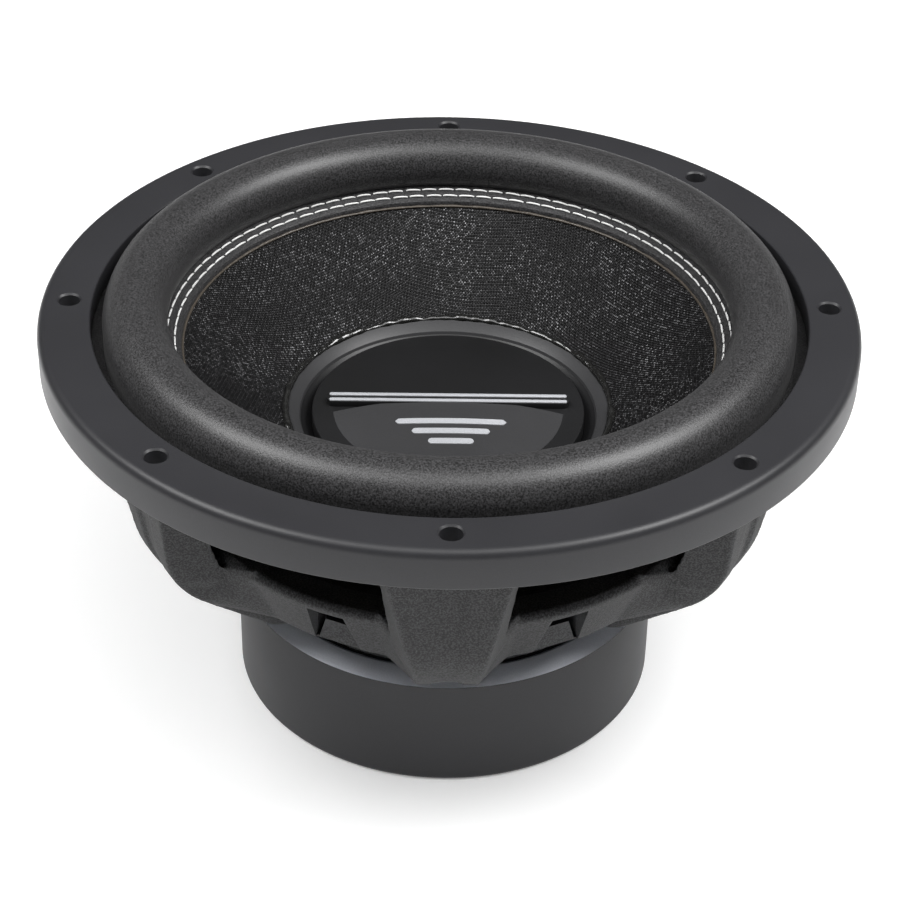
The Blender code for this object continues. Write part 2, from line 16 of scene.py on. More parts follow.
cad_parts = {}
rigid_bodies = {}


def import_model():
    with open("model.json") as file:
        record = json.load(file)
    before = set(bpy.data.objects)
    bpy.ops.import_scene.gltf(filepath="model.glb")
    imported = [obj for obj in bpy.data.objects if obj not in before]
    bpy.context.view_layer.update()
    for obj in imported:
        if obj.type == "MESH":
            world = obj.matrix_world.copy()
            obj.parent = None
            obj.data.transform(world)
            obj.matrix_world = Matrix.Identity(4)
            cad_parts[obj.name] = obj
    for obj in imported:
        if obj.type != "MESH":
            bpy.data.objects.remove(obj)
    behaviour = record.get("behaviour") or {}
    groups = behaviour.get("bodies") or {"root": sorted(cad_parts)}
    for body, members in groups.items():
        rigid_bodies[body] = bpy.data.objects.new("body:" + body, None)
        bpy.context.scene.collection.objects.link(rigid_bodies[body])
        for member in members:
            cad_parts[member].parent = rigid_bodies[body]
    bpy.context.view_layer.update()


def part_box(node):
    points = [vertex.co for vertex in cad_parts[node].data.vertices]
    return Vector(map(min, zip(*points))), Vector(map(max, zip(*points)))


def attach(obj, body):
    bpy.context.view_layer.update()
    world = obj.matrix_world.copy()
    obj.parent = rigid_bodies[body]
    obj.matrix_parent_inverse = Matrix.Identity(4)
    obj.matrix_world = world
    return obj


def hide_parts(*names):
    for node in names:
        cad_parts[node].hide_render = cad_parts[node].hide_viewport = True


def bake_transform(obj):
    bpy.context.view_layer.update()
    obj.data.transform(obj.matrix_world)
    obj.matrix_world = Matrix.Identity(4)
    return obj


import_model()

MM = 0.001
FRAME_BODY = "frame_body"
CONE_BODY = "cone_body"
SEGMENTS = 256  # round a large turned piece
FINE_SEGMENTS = 96  # round a piece inside the driver
SMALL_SEGMENTS = 40  # round a screw or a button


def box_of(node):
    """Lowest and highest corner of a CAD node, in millimetres."""
    low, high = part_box(node)
    return low / MM, high / MM


GASKET_LOW, GASKET_HIGH = box_of("gasket_ring")
GASKET_RADIUS = GASKET_HIGH.x
GASKET_INNER = 139.5
BOLT_COUNT = 8
BOLT_CIRCLE = 148.5
BOLT_RADIUS = 4.2
BOOT_HIGH = box_of("magnet_boot")[1]
BOOT_RADIUS = BOOT_HIGH.x
BASE_BOTTOM = 53.0
BASE_TOP = 57.0
CONE_EDGE = (105.0, 155.7)
CAP_EDGE = (64.4, 122.5)
CONE_THICK = 2.0
ROLL_CENTRE = (122.4, 169.7)
ROLL_RADIUS = 12.6
ROLL_THICK = 1.8


# Materials


def new_material(name, roughness, metallic=0.0):
    """A material with its node tree and its Principled shader."""
    material = bpy.data.materials.new(name)
    material.use_nodes = True
    shader = material.node_tree.nodes["Principled BSDF"]
    shader.inputs["Roughness"].default_value = roughness
    shader.inputs["Metallic"].default_value = metallic
    return material, material.node_tree, shader


def add_node(tree, kind, inputs=None, **settings):
    """Adds a node; an input is a value, or the output socket that feeds it."""
    node = tree.nodes.new(kind)
    for key, value in settings.items():
        setattr(node, key, value)
    for key, value in (inputs or {}).items():
        if isinstance(value, bpy.types.NodeSocket):
            tree.links.new(value, node.inputs[key])
        else:
            node.inputs[key].default_value = value
    return node


def maths(tree, operation, first, second=0.0, third=0.0):
    inputs = {0: first, 1: second, 2: third}
    return add_node(tree, "ShaderNodeMath", inputs, operation=operation).outputs[0]


def object_place(tree):
    return add_node(tree, "ShaderNodeTexCoord").outputs["Object"]


def noise(tree, per_metre, detail=2.0, stretch=None):
    """Noise of a given frequency; stretch scales its axes."""
    place = object_place(tree)
    if stretch:
        place = add_node(tree, "ShaderNodeMapping", {"Vector": place, "Scale": stretch}).outputs[0]
    inputs = {"Vector": place, "Scale": per_metre, "Detail": detail}
    return add_node(tree, "ShaderNodeTexNoise", inputs).outputs["Fac"]


def ramp(tree, factor, low, high):
    """0 where the factor is under low, 1 over high."""
    inputs = {"Value": factor, "From Min": low, "From Max": high}
    return add_node(tree, "ShaderNodeMapRange", inputs, clamp=True).outputs[0]


def span(tree, factor, low, high):
    """Maps a factor of 0 to 1 onto low to high."""
    inputs = {"Value": factor, "To Min": low, "To Max": high}
    return add_node(tree, "ShaderNodeMapRange", inputs).outputs[0]


def mix_colour(tree, factor, first, second):
    node = add_node(tree, "ShaderNodeMix", data_type="RGBA")
    for index, value in ((0, factor), (6, first), (7, second)):
        if isinstance(value, bpy.types.NodeSocket):
            tree.links.new(value, node.inputs[index])
        elif index:
            node.inputs[index].default_value = (*value, 1.0)
        else:
            node.inputs[index].default_value = value
    return node.outputs[2]


def bump(tree, height, depth, under=None):
    """A bump whose depth is in millimetres, over another one."""
    inputs = {"Height": height, "Distance": depth * MM, "Strength": 1.0}
    if under:
        inputs["Normal"] = under
    return add_node(tree, "ShaderNodeBump", inputs).outputs[0]


def feed(tree, shader, **sockets):
    for key, value in sockets.items():
        tree.links.new(value, shader.inputs[key.replace("_", " ")])


def worn_edges(tree, amount):
    """Rises from 0 to amount along convex edges."""
    pointiness = add_node(tree, "ShaderNodeNewGeometry").outputs["Pointiness"]
    return maths(tree, "MULTIPLY", ramp(tree, pointiness, 0.51, 0.58), amount)


def grainy(name, dark, light, roughness, grain, depth, metallic=0.0, wear=0.0, stretch=None):
    """Moulded, cast or painted: a fine grain, slow changes of tone and gloss, and worn edges."""
    material, tree, shader = new_material(name, roughness, metallic)
    fine = noise(tree, 1000.0 / grain, 3.0, stretch)
    slow = noise(tree, 22.0, 4.0)
    tone = maths(tree, "ADD", maths(tree, "MULTIPLY", fine, 0.6), maths(tree, "MULTIPLY", slow, 0.4))
    colour = mix_colour(tree, ramp(tree, tone, 0.3, 0.7), dark, light)
    if wear:
        bright = tuple(min(1.0, 2.2 * part + 0.01) for part in light)
        colour = mix_colour(tree, worn_edges(tree, wear), colour, bright)
    gloss = span(tree, slow, roughness - 0.07, roughness + 0.07)
    normal = bump(tree, fine, depth)
    feed(tree, shader, Base_Color=colour, Roughness=gloss, Normal=normal)
    shader.inputs["Specular IOR Level"].default_value = 0.5 if metallic else 0.35
    return material


def powder_coat():
    """Textured black powder coat: coarse grain, pale speckles and lighter, rubbed edges."""
    material, tree, shader = new_material("powder_coat", 0.6)
    lumps = noise(tree, 1350.0, 1.0)
    fine = noise(tree, 2600.0, 2.0)
    slow = noise(tree, 30.0, 3.0)
    grain = maths(tree, "ADD", maths(tree, "MULTIPLY", lumps, 0.8), maths(tree, "MULTIPLY", fine, 0.2))
    colour = mix_colour(tree, ramp(tree, grain, 0.44, 0.58), (0.002, 0.002, 0.002), (0.030, 0.030, 0.032))
    speckle = maths(tree, "MULTIPLY", ramp(tree, fine, 0.62, 0.72), span(tree, slow, 0.2, 0.7))
    colour = mix_colour(tree, speckle, colour, (0.13, 0.13, 0.135))
    colour = mix_colour(tree, worn_edges(tree, 0.35), colour, (0.070, 0.072, 0.076))
    normal = bump(tree, fine, 0.06, bump(tree, lumps, 0.14))
    feed(tree, shader, Base_Color=colour, Roughness=span(tree, fine, 0.5, 0.75), Normal=normal)
    shader.inputs["Specular IOR Level"].default_value = 0.35
    return material


def foam():
    """Surround foam: a tight open grain that breaks highlights into fine sparkle."""
    material, tree, shader = new_material("foam", 0.5)
    pores = noise(tree, 1500.0, 3.0)
    slow = noise(tree, 26.0, 3.0)
    colour = mix_colour(tree, ramp(tree, pores, 0.36, 0.66), (0.008, 0.008, 0.008), (0.052, 0.051, 0.053))
    gloss = maths(tree, "ADD", span(tree, slow, 0.36, 0.44), span(tree, pores, -0.08, 0.08))
    feed(tree, shader, Base_Color=colour, Roughness=gloss, Normal=bump(tree, pores, 0.09))
    shader.inputs["Sheen Weight"].default_value = 0.04
    shader.inputs["Sheen Roughness"].default_value = 0.5
    return material


def weave_parts(tree, pitch):
    """Height of a plain weave on the bias, and a random number for each of its cells."""
    turned = add_node(
        tree, "ShaderNodeMapping", {"Vector": object_place(tree), "Rotation": (0, 0, math.radians(52))}
    ).outputs[0]
    split = add_node(tree, "ShaderNodeSeparateXYZ", {0: turned}).outputs
    across, along = (maths(tree, "MULTIPLY", split[axis], 1.0 / (pitch * MM)) for axis in (0, 1))
    waves = [maths(tree, "SINE", maths(tree, "MULTIPLY", value, math.pi)) for value in (across, along)]
    height = maths(tree, "MULTIPLY", *(maths(tree, "ABSOLUTE", wave) for wave in waves))
    over = maths(tree, "MULTIPLY", *waves)
    cells = [maths(tree, "FLOOR", value) for value in (across, along)]
    cell = add_node(tree, "ShaderNodeCombineXYZ", {0: cells[0], 1: cells[1]}).outputs[0]
    chance = add_node(
        tree, "ShaderNodeTexWhiteNoise", {"Vector": cell}, noise_dimensions="3D"
    ).outputs["Value"]
    return height, over, chance


def cone_cloth(name, dark, light, painted_glint_colour, depth, pitch):
    """Resin-coated woven fibre: dark gaps, satin threads and patches of glossier cells, their lighter colour a
    painted glint.
    """
    material, tree, shader = new_material(name, 0.45)
    height, over, chance = weave_parts(tree, pitch)
    lit = maths(tree, "MULTIPLY", ramp(tree, height, 0.35, 0.85), span(tree, chance, 0.35, 1.0))
    colour = mix_colour(tree, lit, dark, light)
    patches = ramp(tree, noise(tree, 38.0, 3.0), 0.35, 0.65)
    bright = maths(tree, "MULTIPLY", maths(tree, "POWER", chance, 5.0), span(tree, patches, 0.15, 1.0))
    gloss_and_painted_glint = maths(tree, "MULTIPLY", bright, ramp(tree, height, 0.45, 0.85))
    # painted glint: the glossy cells' base colour is lightened towards the glint colour; their lower roughness is
    # real gloss
    colour = mix_colour(tree, gloss_and_painted_glint, colour, painted_glint_colour)
    gloss = span(tree, gloss_and_painted_glint, 0.42, 0.22)
    wobble = noise(tree, 60.0, 3.0)
    weave = maths(tree, "ADD", height, maths(tree, "MULTIPLY", over, 0.4))
    weave = maths(tree, "ADD", weave, maths(tree, "MULTIPLY", wobble, 2.0))
    feed(tree, shader, Base_Color=colour, Roughness=gloss, Normal=bump(tree, weave, depth))
    shader.inputs["Specular IOR Level"].default_value = 0.2
    return material


def banded(name, dark, light, roughness, metallic, spacing, depth, axis=2):
    """Parallel ridges along one axis, such as the turns of a winding."""
    material, tree, shader = new_material(name, roughness, metallic)
    split = add_node(tree, "ShaderNodeSeparateXYZ", {0: object_place(tree)}).outputs[axis]
    wave = maths(tree, "SINE", maths(tree, "MULTIPLY", split, math.tau / (spacing * MM)))
    wave = span(tree, wave, 0.5, 1.0)
    slow = noise(tree, 90.0, 3.0)
    colour = mix_colour(tree, maths(tree, "MULTIPLY", wave, slow), dark, light)
    feed(tree, shader, Base_Color=colour, Normal=bump(tree, wave, depth))
    return material


def cloth_of(name, dark, light, pitch, depth, roughness=0.85):
    """An open matt cloth."""
    material, tree, shader = new_material(name, roughness)
    height, over, chance = weave_parts(tree, pitch)
    lit = maths(tree, "MULTIPLY", height, span(tree, chance, 0.7, 1.0))
    slow = noise(tree, 45.0, 3.0)
    colour = mix_colour(tree, lit, dark, light)
    colour = mix_colour(tree, maths(tree, "MULTIPLY", slow, 0.4), colour, dark)
    weave = maths(tree, "ADD", height, maths(tree, "MULTIPLY", over, 0.3))
    feed(tree, shader, Base_Color=colour, Normal=bump(tree, weave, depth))
    return material


def glue(name, dark, light, roughness, coat):
    """Hardened adhesive, lumpy and glossy."""
    material, tree, shader = new_material(name, roughness)
    lumps = noise(tree, 420.0, 4.0)
    colour = mix_colour(tree, lumps, dark, light)
    feed(tree, shader, Base_Color=colour, Normal=bump(tree, lumps, 0.5))
    shader.inputs["Coat Weight"].default_value = coat
    shader.inputs["Coat Roughness"].default_value = 0.12
    return material


def brushed_silver():
    """Silver paint with a fine metallic grain."""
    return grainy("silver_paint", (0.40, 0.41, 0.43), (0.56, 0.57, 0.60), 0.42, 0.5, 0.02, 0.3)


def make_materials():
    return {
        "basket_paint": powder_coat(),
        # painted light: a pale metallic shoulder finish, its tone pushed to near white to stand in for light
        # reaching it under the basket
        "shoulder": grainy(
            "shoulder", (0.60, 0.62, 0.68), (0.72, 0.74, 0.80), 0.42, 0.5, 0.03, 0.3
        ),
        "trim_plastic": grainy(
            "satin_trim", (0.020, 0.020, 0.022), (0.027, 0.027, 0.030), 0.40, 0.5, 0.018
        ),
        "surround_foam": foam(),
        "cone_cloth": cone_cloth(
            "cone_cloth", (0.0015, 0.0015, 0.0015), (0.016, 0.015, 0.017), (0.34, 0.34, 0.35), 0.24, 0.86
        ),
        "cone_back": cone_cloth(
            "cone_back", (0.002, 0.002, 0.002), (0.60, 0.52, 0.44), (0.75, 0.68, 0.60), 0.30, 1.25
        ),
        "cap_plastic": grainy(
            "cap_plastic", (0.006, 0.006, 0.006), (0.010, 0.010, 0.011), 0.40, 0.6, 0.012
        ),
        "cap_ring_plastic": grainy(
            "cap_ring", (0.026, 0.026, 0.027), (0.036, 0.036, 0.038), 0.42, 0.6, 0.015
        ),
        "silver_paint": brushed_silver(),
        "thread": grainy(
            "thread", (0.62, 0.62, 0.61), (0.90, 0.90, 0.89), 0.55, 0.35, 0.06, stretch=(1, 1, 0.4)
        ),
        "former_metal": grainy(
            "former_metal", (0.60, 0.60, 0.61), (0.80, 0.80, 0.81), 0.33, 1.2, 0.02, 1.0,
            stretch=(1, 1, 0.05),
        ),
        "copper_wire": banded("copper_wire", (0.30, 0.10, 0.05), (0.80, 0.36, 0.20), 0.3, 1.0, 0.9, 0.25),
        "adhesive": glue("black_glue", (0.003, 0.003, 0.003), (0.010, 0.010, 0.009), 0.2, 1.0),
        "edge_glue": glue("edge_glue", (0.035, 0.029, 0.023), (0.105, 0.088, 0.070), 0.4, 0.2),
        "spider_cloth": cloth_of("spider_cloth", (0.003, 0.003, 0.003), (0.012, 0.011, 0.010), 0.9, 0.2),
        "spacer_plastic": grainy(
            "spacer_plastic", (0.018, 0.018, 0.018), (0.028, 0.028, 0.028), 0.5, 0.8, 0.03
        ),
        "motor_steel": grainy(
            "motor_steel", (0.30, 0.29, 0.27), (0.48, 0.47, 0.45), 0.38, 0.9, 0.03, 1.0, 0.2
        ),
        "black_steel": grainy(
            "black_steel", (0.020, 0.020, 0.021), (0.045, 0.045, 0.047), 0.42, 0.9, 0.03, 0.6, 0.3
        ),
        "ferrite": grainy("ferrite", (0.030, 0.030, 0.031), (0.060, 0.060, 0.062), 0.7, 1.6, 0.12),
        "boot_rubber": grainy(
            "boot_rubber", (0.019, 0.019, 0.021), (0.027, 0.027, 0.030), 0.5, 0.45, 0.02, wear=0.25
        ),
        "screw_steel": grainy(
            "screw_steel", (0.035, 0.035, 0.037), (0.085, 0.085, 0.088), 0.32, 0.5, 0.02, 0.9, 0.6
        ),
        "terminal_plastic": grainy(
            "terminal_plastic", (0.010, 0.010, 0.010), (0.020, 0.020, 0.020), 0.4, 0.7, 0.03
        ),
        "button_red": grainy("button_red", (0.36, 0.010, 0.010), (0.52, 0.020, 0.018), 0.32, 0.8, 0.02),
        "button_black": grainy(
            "button_black", (0.008, 0.008, 0.008), (0.018, 0.018, 0.018), 0.32, 0.8, 0.02
        ),
        "spring_steel": grainy(
            "spring_steel", (0.45, 0.45, 0.45), (0.68, 0.68, 0.67), 0.25, 0.6, 0.01, 1.0
        ),
        "lug_brass": grainy("lug_brass", (0.50, 0.36, 0.13), (0.74, 0.55, 0.24), 0.3, 0.9, 0.02, 1.0, 0.3),
        "lead_braid": cloth_of("lead_braid", (0.20, 0.13, 0.07), (0.66, 0.50, 0.34), 0.45, 0.15, 0.4),
    }


MATERIALS = make_materials()


# Mesh helpers


def settled(obj):
    """Applies the object's modifiers to its mesh."""
    graph = bpy.context.evaluated_depsgraph_get()
    mesh = bpy.data.meshes.new_from_object(obj.evaluated_get(graph))
    obj.modifiers.clear()
    obj.data = mesh
    return obj


def mesh_object(name, points, faces, sharp=35):
    """An object from points in millimetres, its faces turned outwards."""
    mesh = bpy.data.meshes.new(name)
    mesh.from_pydata([tuple(MM * part for part in point) for point in points], [], faces)
    shape = bmesh.new()
    shape.from_mesh(mesh)
    bmesh.ops.recalc_face_normals(shape, faces=shape.faces)
    shape.to_mesh(mesh)
    shape.free()
    mesh.shade_smooth()
    mesh.set_sharp_from_angle(angle=math.radians(sharp))
    obj = bpy.data.objects.new(name, mesh)
    bpy.context.scene.collection.objects.link(obj)
    return obj


def dress(obj, slot, body=None, replaces=(), look=None):
    """Gives a piece its material, named by look or else by slot, its body and the CAD nodes it stands for, which
    it hides.
    """
    obj.data.materials.clear()
    obj.data.materials.append(MATERIALS[look or slot])
    if body:
        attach(obj, body)
    if replaces:
        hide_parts(*replaces)
    return obj


def around(radius, angle):
    return radius * math.cos(angle), radius * math.sin(angle)


def lathe(outline, segments=SEGMENTS):
    """Points and faces of a closed outline of (radius, height) points, turned about Z."""
    points, rings, faces = [], [], []
    for radius, height in outline:
        count = 1 if radius < 1e-6 else segments
        rings.append([len(points) + i for i in range(count)])
        points += [(*around(radius, math.tau * i / segments), height) for i in range(count)]
    for first, second in zip(rings, rings[1:] + rings[:1]):
        if len(first) == len(second) == 1:
            continue
        for i in range(segments):
            j = (i + 1) % segments
            corners = [first[i % len(first)], first[j % len(first)]]
            corners += [second[j % len(second)], second[i % len(second)]]
            faces.append(list(dict.fromkeys(corners)))
    return points, faces


def rounded(corners, steps=4):
    """An outline whose corners (radius, height, fillet) are rounded by arcs."""
    outline = []
    for i, (x, y, fillet) in enumerate(corners):
        here = Vector((x, y))
        if not fillet:
            outline.append((x, y))
            continue
        one = (Vector(corners[i - 1][:2]) - here).normalized()
        two = (Vector(corners[(i + 1) % len(corners)][:2]) - here).normalized()
        half = one.angle(two) / 2
        centre = here + (one + two).normalized() * (fillet / math.sin(half))
        start = here + one * (fillet / math.tan(half)) - centre
        end = here + two * (fillet / math.tan(half)) - centre
        sweep = start.angle_signed(end)
        for step in range(steps + 1):
            point = centre + Matrix.Rotation(-sweep * step / steps, 2) @ start
            outline.append((point.x, point.y))
    return outline


def arc(centre, radius, start, end, steps):
    """Points on a circle in the (radius, height) plane, angles in degrees."""
    for step in range(steps + 1):
        x, y = around(radius, math.radians(start + (end - start) * step / steps))
        yield centre[0] + x, centre[1] + y


def tube_corners(inner, outer, low, high, fillet):
    """A turned tube's section, its four corners rounded alike."""
    return rounded(
        [(inner, low, fillet), (outer, low, fillet), (outer, high, fillet), (inner, high, fillet)], 2
    )


def turned(name, outline, segments=SEGMENTS):
    return mesh_object(name, *lathe(outline, segments))


def loft(sections):
    """Points and faces of a closed solid through rings of equally many points."""
    count = len(sections[0])
    points = [point for section in sections for point in section]
    faces = [list(range(count)), list(range(len(points) - count, len(points)))]
    for level in range(len(sections) - 1):
        for i in range(count):
            j = (i + 1) % count
            low, high = level * count, (level + 1) * count
            faces += [(low + i, low + j, high + j), (low + i, high + j, high + i)]
    return points, faces


def prism(outline, low, high):
    """Points and faces of a plan outline between two heights."""
    return loft([[(x, y, z) for x, y in outline] for z in (low, high)])


def ring_of(radius, count, first=0.0):
    return [around(radius, first + math.tau * i / count) for i in range(count)]


def gathered(parts):
    """Joins several (points, faces) into one."""
    points, faces = [], []
    for part_points, part_faces in parts:
        start = len(points)
        points += part_points
        faces += [[start + index for index in face] for face in part_faces]
    return points, faces


def moved(part, matrix):
    points, faces = part
    return [tuple(matrix @ Vector(point)) for point in points], faces


def cut(obj, parts, solver="EXACT", operation="DIFFERENCE"):
    """Applies a Boolean with one tool made of several parts."""
    tool = mesh_object("tool", *gathered(parts))
    boolean = obj.modifiers.new("cut", "BOOLEAN")
    boolean.operation = operation
    boolean.solver = solver
    boolean.object = tool
    settled(obj)
    bpy.data.objects.remove(tool)
    obj.data.shade_smooth()
    obj.data.set_sharp_from_angle(angle=math.radians(35))
    return obj


def softened(obj, width, segments=2):
    """Rounds the sharp edges with an applied bevel."""
    bevel = obj.modifiers.new("bevel", "BEVEL")
    bevel.width = width * MM
    bevel.segments = segments
    bevel.limit_method = "ANGLE"
    bevel.angle_limit = math.radians(40)
    bevel.harden_normals = False
    settled(obj)
    obj.data.shade_smooth()
    obj.data.set_sharp_from_angle(angle=math.radians(40))
    return obj


def tube_along(points, radius, sides=10):
    """Points and faces of a round tube through the points, its radius a number or one for each."""
    points = [Vector(point) for point in points]
    radii = radius if isinstance(radius, list) else [radius] * len(points)
    sections = []
    side = None
    for i, point in enumerate(points):
        along = (points[min(i + 1, len(points) - 1)] - points[max(i - 1, 0)]).normalized()
        if side is None:
            side = along.orthogonal().normalized()
        side = (side - along * side.dot(along)).normalized()
        other = along.cross(side)
        ring = ring_of(radii[i], sides)
        sections.append([tuple(point + side * x + other * y) for x, y in ring])
    return loft(sections)


def smooth_path(points, per_span):
    """A Catmull-Rom curve through the points."""
    points = [Vector(point) for point in points]
    points = [2 * points[0] - points[1], *points, 2 * points[-1] - points[-2]]
    path = []
    for a, b, c, d in zip(points, points[1:], points[2:], points[3:]):
        for step in range(per_span):
            t = step / per_span
            path.append(0.5 * (
                2 * b + (c - a) * t + (2 * a - 5 * b + 4 * c - d) * t**2
                + (3 * b - a - 3 * c + d) * t**3
            ))
    return path + [points[-2]]


def bend_between(obj, share_of):
    """Bakes the piece's transform; share_of gives each vertex a share of 0 to 1 from a point in mm, but the
    shares are not used.
    """
    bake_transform(obj)
    shares = [min(1.0, max(0.0, share_of(vertex.co / MM))) for vertex in obj.data.vertices]
    return obj


def eased(share):
    share = min(1.0, max(0.0, share))
    return share * share * (3 - 2 * share)


def radial_share(inner, outer):
    """1 inside the inner radius, 0 outside the outer one."""
    return lambda point: eased((outer - math.hypot(point.x, point.y)) / (outer - inner))


# Gasket ring


def make_gasket():
    low, top = GASKET_LOW.z, GASKET_HIGH.z
    seat = low + 7.3
    inner_wall = 156.6
    outline = rounded([
        (GASKET_RADIUS, low, 0.7), (GASKET_RADIUS, top, 3.7), (GASKET_INNER, top, 0.9),
        (GASKET_INNER, seat, 0.3), (inner_wall, seat, 0), (inner_wall, low, 0.5),
    ], 7)
    ring = turned("gasket_trim", outline)
    bore = [(0, low - 5), (BOLT_RADIUS, low - 5), (BOLT_RADIUS, top - 0.7),
            (BOLT_RADIUS + 0.9, top + 0.2), (BOLT_RADIUS + 0.9, top + 5), (0, top + 5)]
    bores = [
        moved(lathe(bore, SMALL_SEGMENTS), Matrix.Translation((x, y, 0)))
        for x, y in ring_of(BOLT_CIRCLE, BOLT_COUNT, -math.pi / 2)
    ]
    cut(ring, bores)
    dress(ring, "trim_plastic", FRAME_BODY, ["gasket_ring"])


# Suspension


def make_surround():
    inner_radius = ROLL_RADIUS - ROLL_THICK
    outer_leg = ROLL_CENTRE[0] + ROLL_RADIUS
    lip_top, lip_bottom, lip_end = 162.5, 161.0, 143.0
    steps = 36
    outline = [
        (lip_end, lip_top), (outer_leg + 0.5, lip_top), (outer_leg, lip_top + 0.5),
        *arc(ROLL_CENTRE, ROLL_RADIUS, 0, 222, steps),
        (112.6, 161.15), (111.9, 160.95), (109.4, 159.85), (106.2, 158.6), (105.3, 158.1),
        (105.0, 157.4), (105.0, 156.4), (113.0, 159.55),
        *arc(ROLL_CENTRE, inner_radius, 222, 0, steps),
        (outer_leg - ROLL_THICK, lip_bottom), (lip_end, lip_bottom),
    ]
    roll = turned("foam_surround", outline)
    dress(roll, "surround_foam", replaces=["surround"])
    bend_between(roll, radial_share(113.0, outer_leg))


SPIDER_WAVES = 5
SPIDER_THICK = 0.7
SPIDER_RIM = box_of("spider_upper")[1].x


def spider_outline(top_level):
    """Flat at the former and the rim, smooth rolls between."""
    inner, first, last, height = 38.4, 45.0, 88.0, 1.9
    steps = 60
    level = top_level - SPIDER_THICK
    top = [(inner, level)]
    for i in range(steps + 1):
        share = i / steps
        fade = min(1.0, 8 * share, 8 * (1 - share))
        wave = height * fade * math.sin(share * SPIDER_WAVES * math.tau)
        top.append((first + (last - first) * share, level + wave))
    top.append((SPIDER_RIM, level))
    return [(r, z + SPIDER_THICK) for r, z in top] + list(reversed(top))


def make_spiders():
    for side in ("lower", "upper"):
        node = f"spider_{side}"
        low, high = box_of(node)
        level = (low.z + high.z + SPIDER_THICK) / 2
        cloth = turned(f"{node}_cloth", spider_outline(level), 2 * FINE_SEGMENTS)
        dress(cloth, "spider_cloth", replaces=[node])
        bend_between(cloth, radial_share(46.0, 88.0))
    low, high = box_of("spider_spacer")
    spacer = turned("spacer_ring", tube_corners(90.5, SPIDER_RIM, low.z, high.z, 0.6), SEGMENTS)
    dress(spacer, "spacer_plastic", FRAME_BODY, ["spider_spacer"])


# Cone, its edge, its glue and its stitching


def cone_top(radius):
    slope = (CONE_EDGE[1] - CAP_EDGE[1]) / (CONE_EDGE[0] - CAP_EDGE[0])
    return CAP_EDGE[1] + slope * (radius - CAP_EDGE[0])


def make_cone():
    neck = 38.4
    lip = (111.5, CONE_EDGE[1] + 2.8)
    steps = 20
    slope = [neck + (CONE_EDGE[0] - neck) * i / steps for i in range(steps + 1)]
    face = [(radius, cone_top(radius)) for radius in slope] + [lip]
    back = [(radius, height - CONE_THICK) for radius, height in reversed(face)]
    cone = turned("cone_shell", face + back)
    dress(cone, "cone_cloth", CONE_BODY, ["cone"])
    cone.data.materials.append(MATERIALS["cone_back"])
    for polygon in cone.data.polygons:
        polygon.material_index = int(polygon.normal.z < 0)


def wavy_bead(name, radius, height, size, wobble, seed, steps=720, sides=10):
    """An uneven bead of glue laid round the axis."""
    chance = random.Random(seed)
    waves = [
        (chance.randint(5, 90), chance.uniform(0, math.tau), chance.uniform(0.3, 1.0))
        for _ in range(14)
    ]
    total = sum(weight for _, _, weight in waves)
    sections = []
    for i in range(steps):
        angle = math.tau * i / steps
        swing = sum(weight * math.sin(rate * angle + start) for rate, start, weight in waves) / total
        thick = size * (1 + wobble * swing)
        centre = radius + size * wobble * 0.6 * swing
        turn = Matrix.Rotation(angle, 3, "Z")
        sections.append([
            tuple(turn @ Vector((centre + x, 0, height + y))) for x, y in ring_of(thick, sides)
        ])
    points = [point for section in sections for point in section]
    faces = []
    for i in range(steps):
        low, high = i * sides, (i + 1) % steps * sides
        for j in range(sides):
            k = (j + 1) % sides
            faces.append((low + j, low + k, high + k, high + j))
    return mesh_object(name, points, faces, sharp=80)


def make_glue():
    edge = wavy_bead("edge_glue", 104.7, cone_top(104.7) + 0.55, 0.55, 0.5, seed=3)
    dress(edge, "adhesive", CONE_BODY, look="edge_glue")
    cap = wavy_bead("cap_glue", 65.4, cone_top(65.6) + 0.4, 1.55, 1.0, seed=8, steps=1600)
    dress(cap, "adhesive", CONE_BODY)


def stitch(radius, height, start, length, thick, skew, lift):
    """One thread seen from above, arched and dipping into the foam at both ends."""
    points, radii = [], []
    steps = 8
    for i in range(steps + 1):
        share = i / steps
        x, y = around(radius + skew * (share - 0.5), start + length * share)
        arch = math.sin(math.pi * share) ** 0.5
        points.append((x, y, height + lift * (arch - 1) + 0.4 * skew * (share - 0.5)))
        radii.append(thick * (0.72 + 0.28 * arch))
    return tube_along(points, radii, 8)


def make_stitches():
    """Two rows of thread through the surround's landing, one stitch after the other."""
    pitch, gap, thick = 7.2, 1.0, 0.43
    for row, (radius, height, seed) in {
        "outer": (110.7, 161.0, 11), "inner": (107.6, 159.7, 12),
    }.items():
        chance = random.Random(seed)
        count = round(math.tau * radius / pitch)
        step = math.tau / count
        parts = []
        for i in range(count):
            start = step * (i + chance.uniform(-0.05, 0.05))
            length = step * (1 - gap / pitch) * chance.uniform(0.95, 1.06)
            skew = 0.12 + chance.uniform(-0.15, 0.15)
            parts.append(stitch(radius, height, start, length, thick, skew, 0.28))
        row_of_thread = mesh_object(f"stitches_{row}", *gathered(parts), sharp=80)
        dress(row_of_thread, "thread", CONE_BODY, [f"stitch_ring_{row}"])


# Dust cap


CAP_DISC_RADIUS = 54.7
STEP_RADIUS = 187.0  # of the arc between the two levels of the disc
STEP_CREST = 2.0  # where that arc crosses the Y axis


def cap_height(x, y):
    """The raised, slightly domed level of the disc."""
    return 125.0 - 3.6 * (x * x + y * y) / CAP_DISC_RADIUS**2


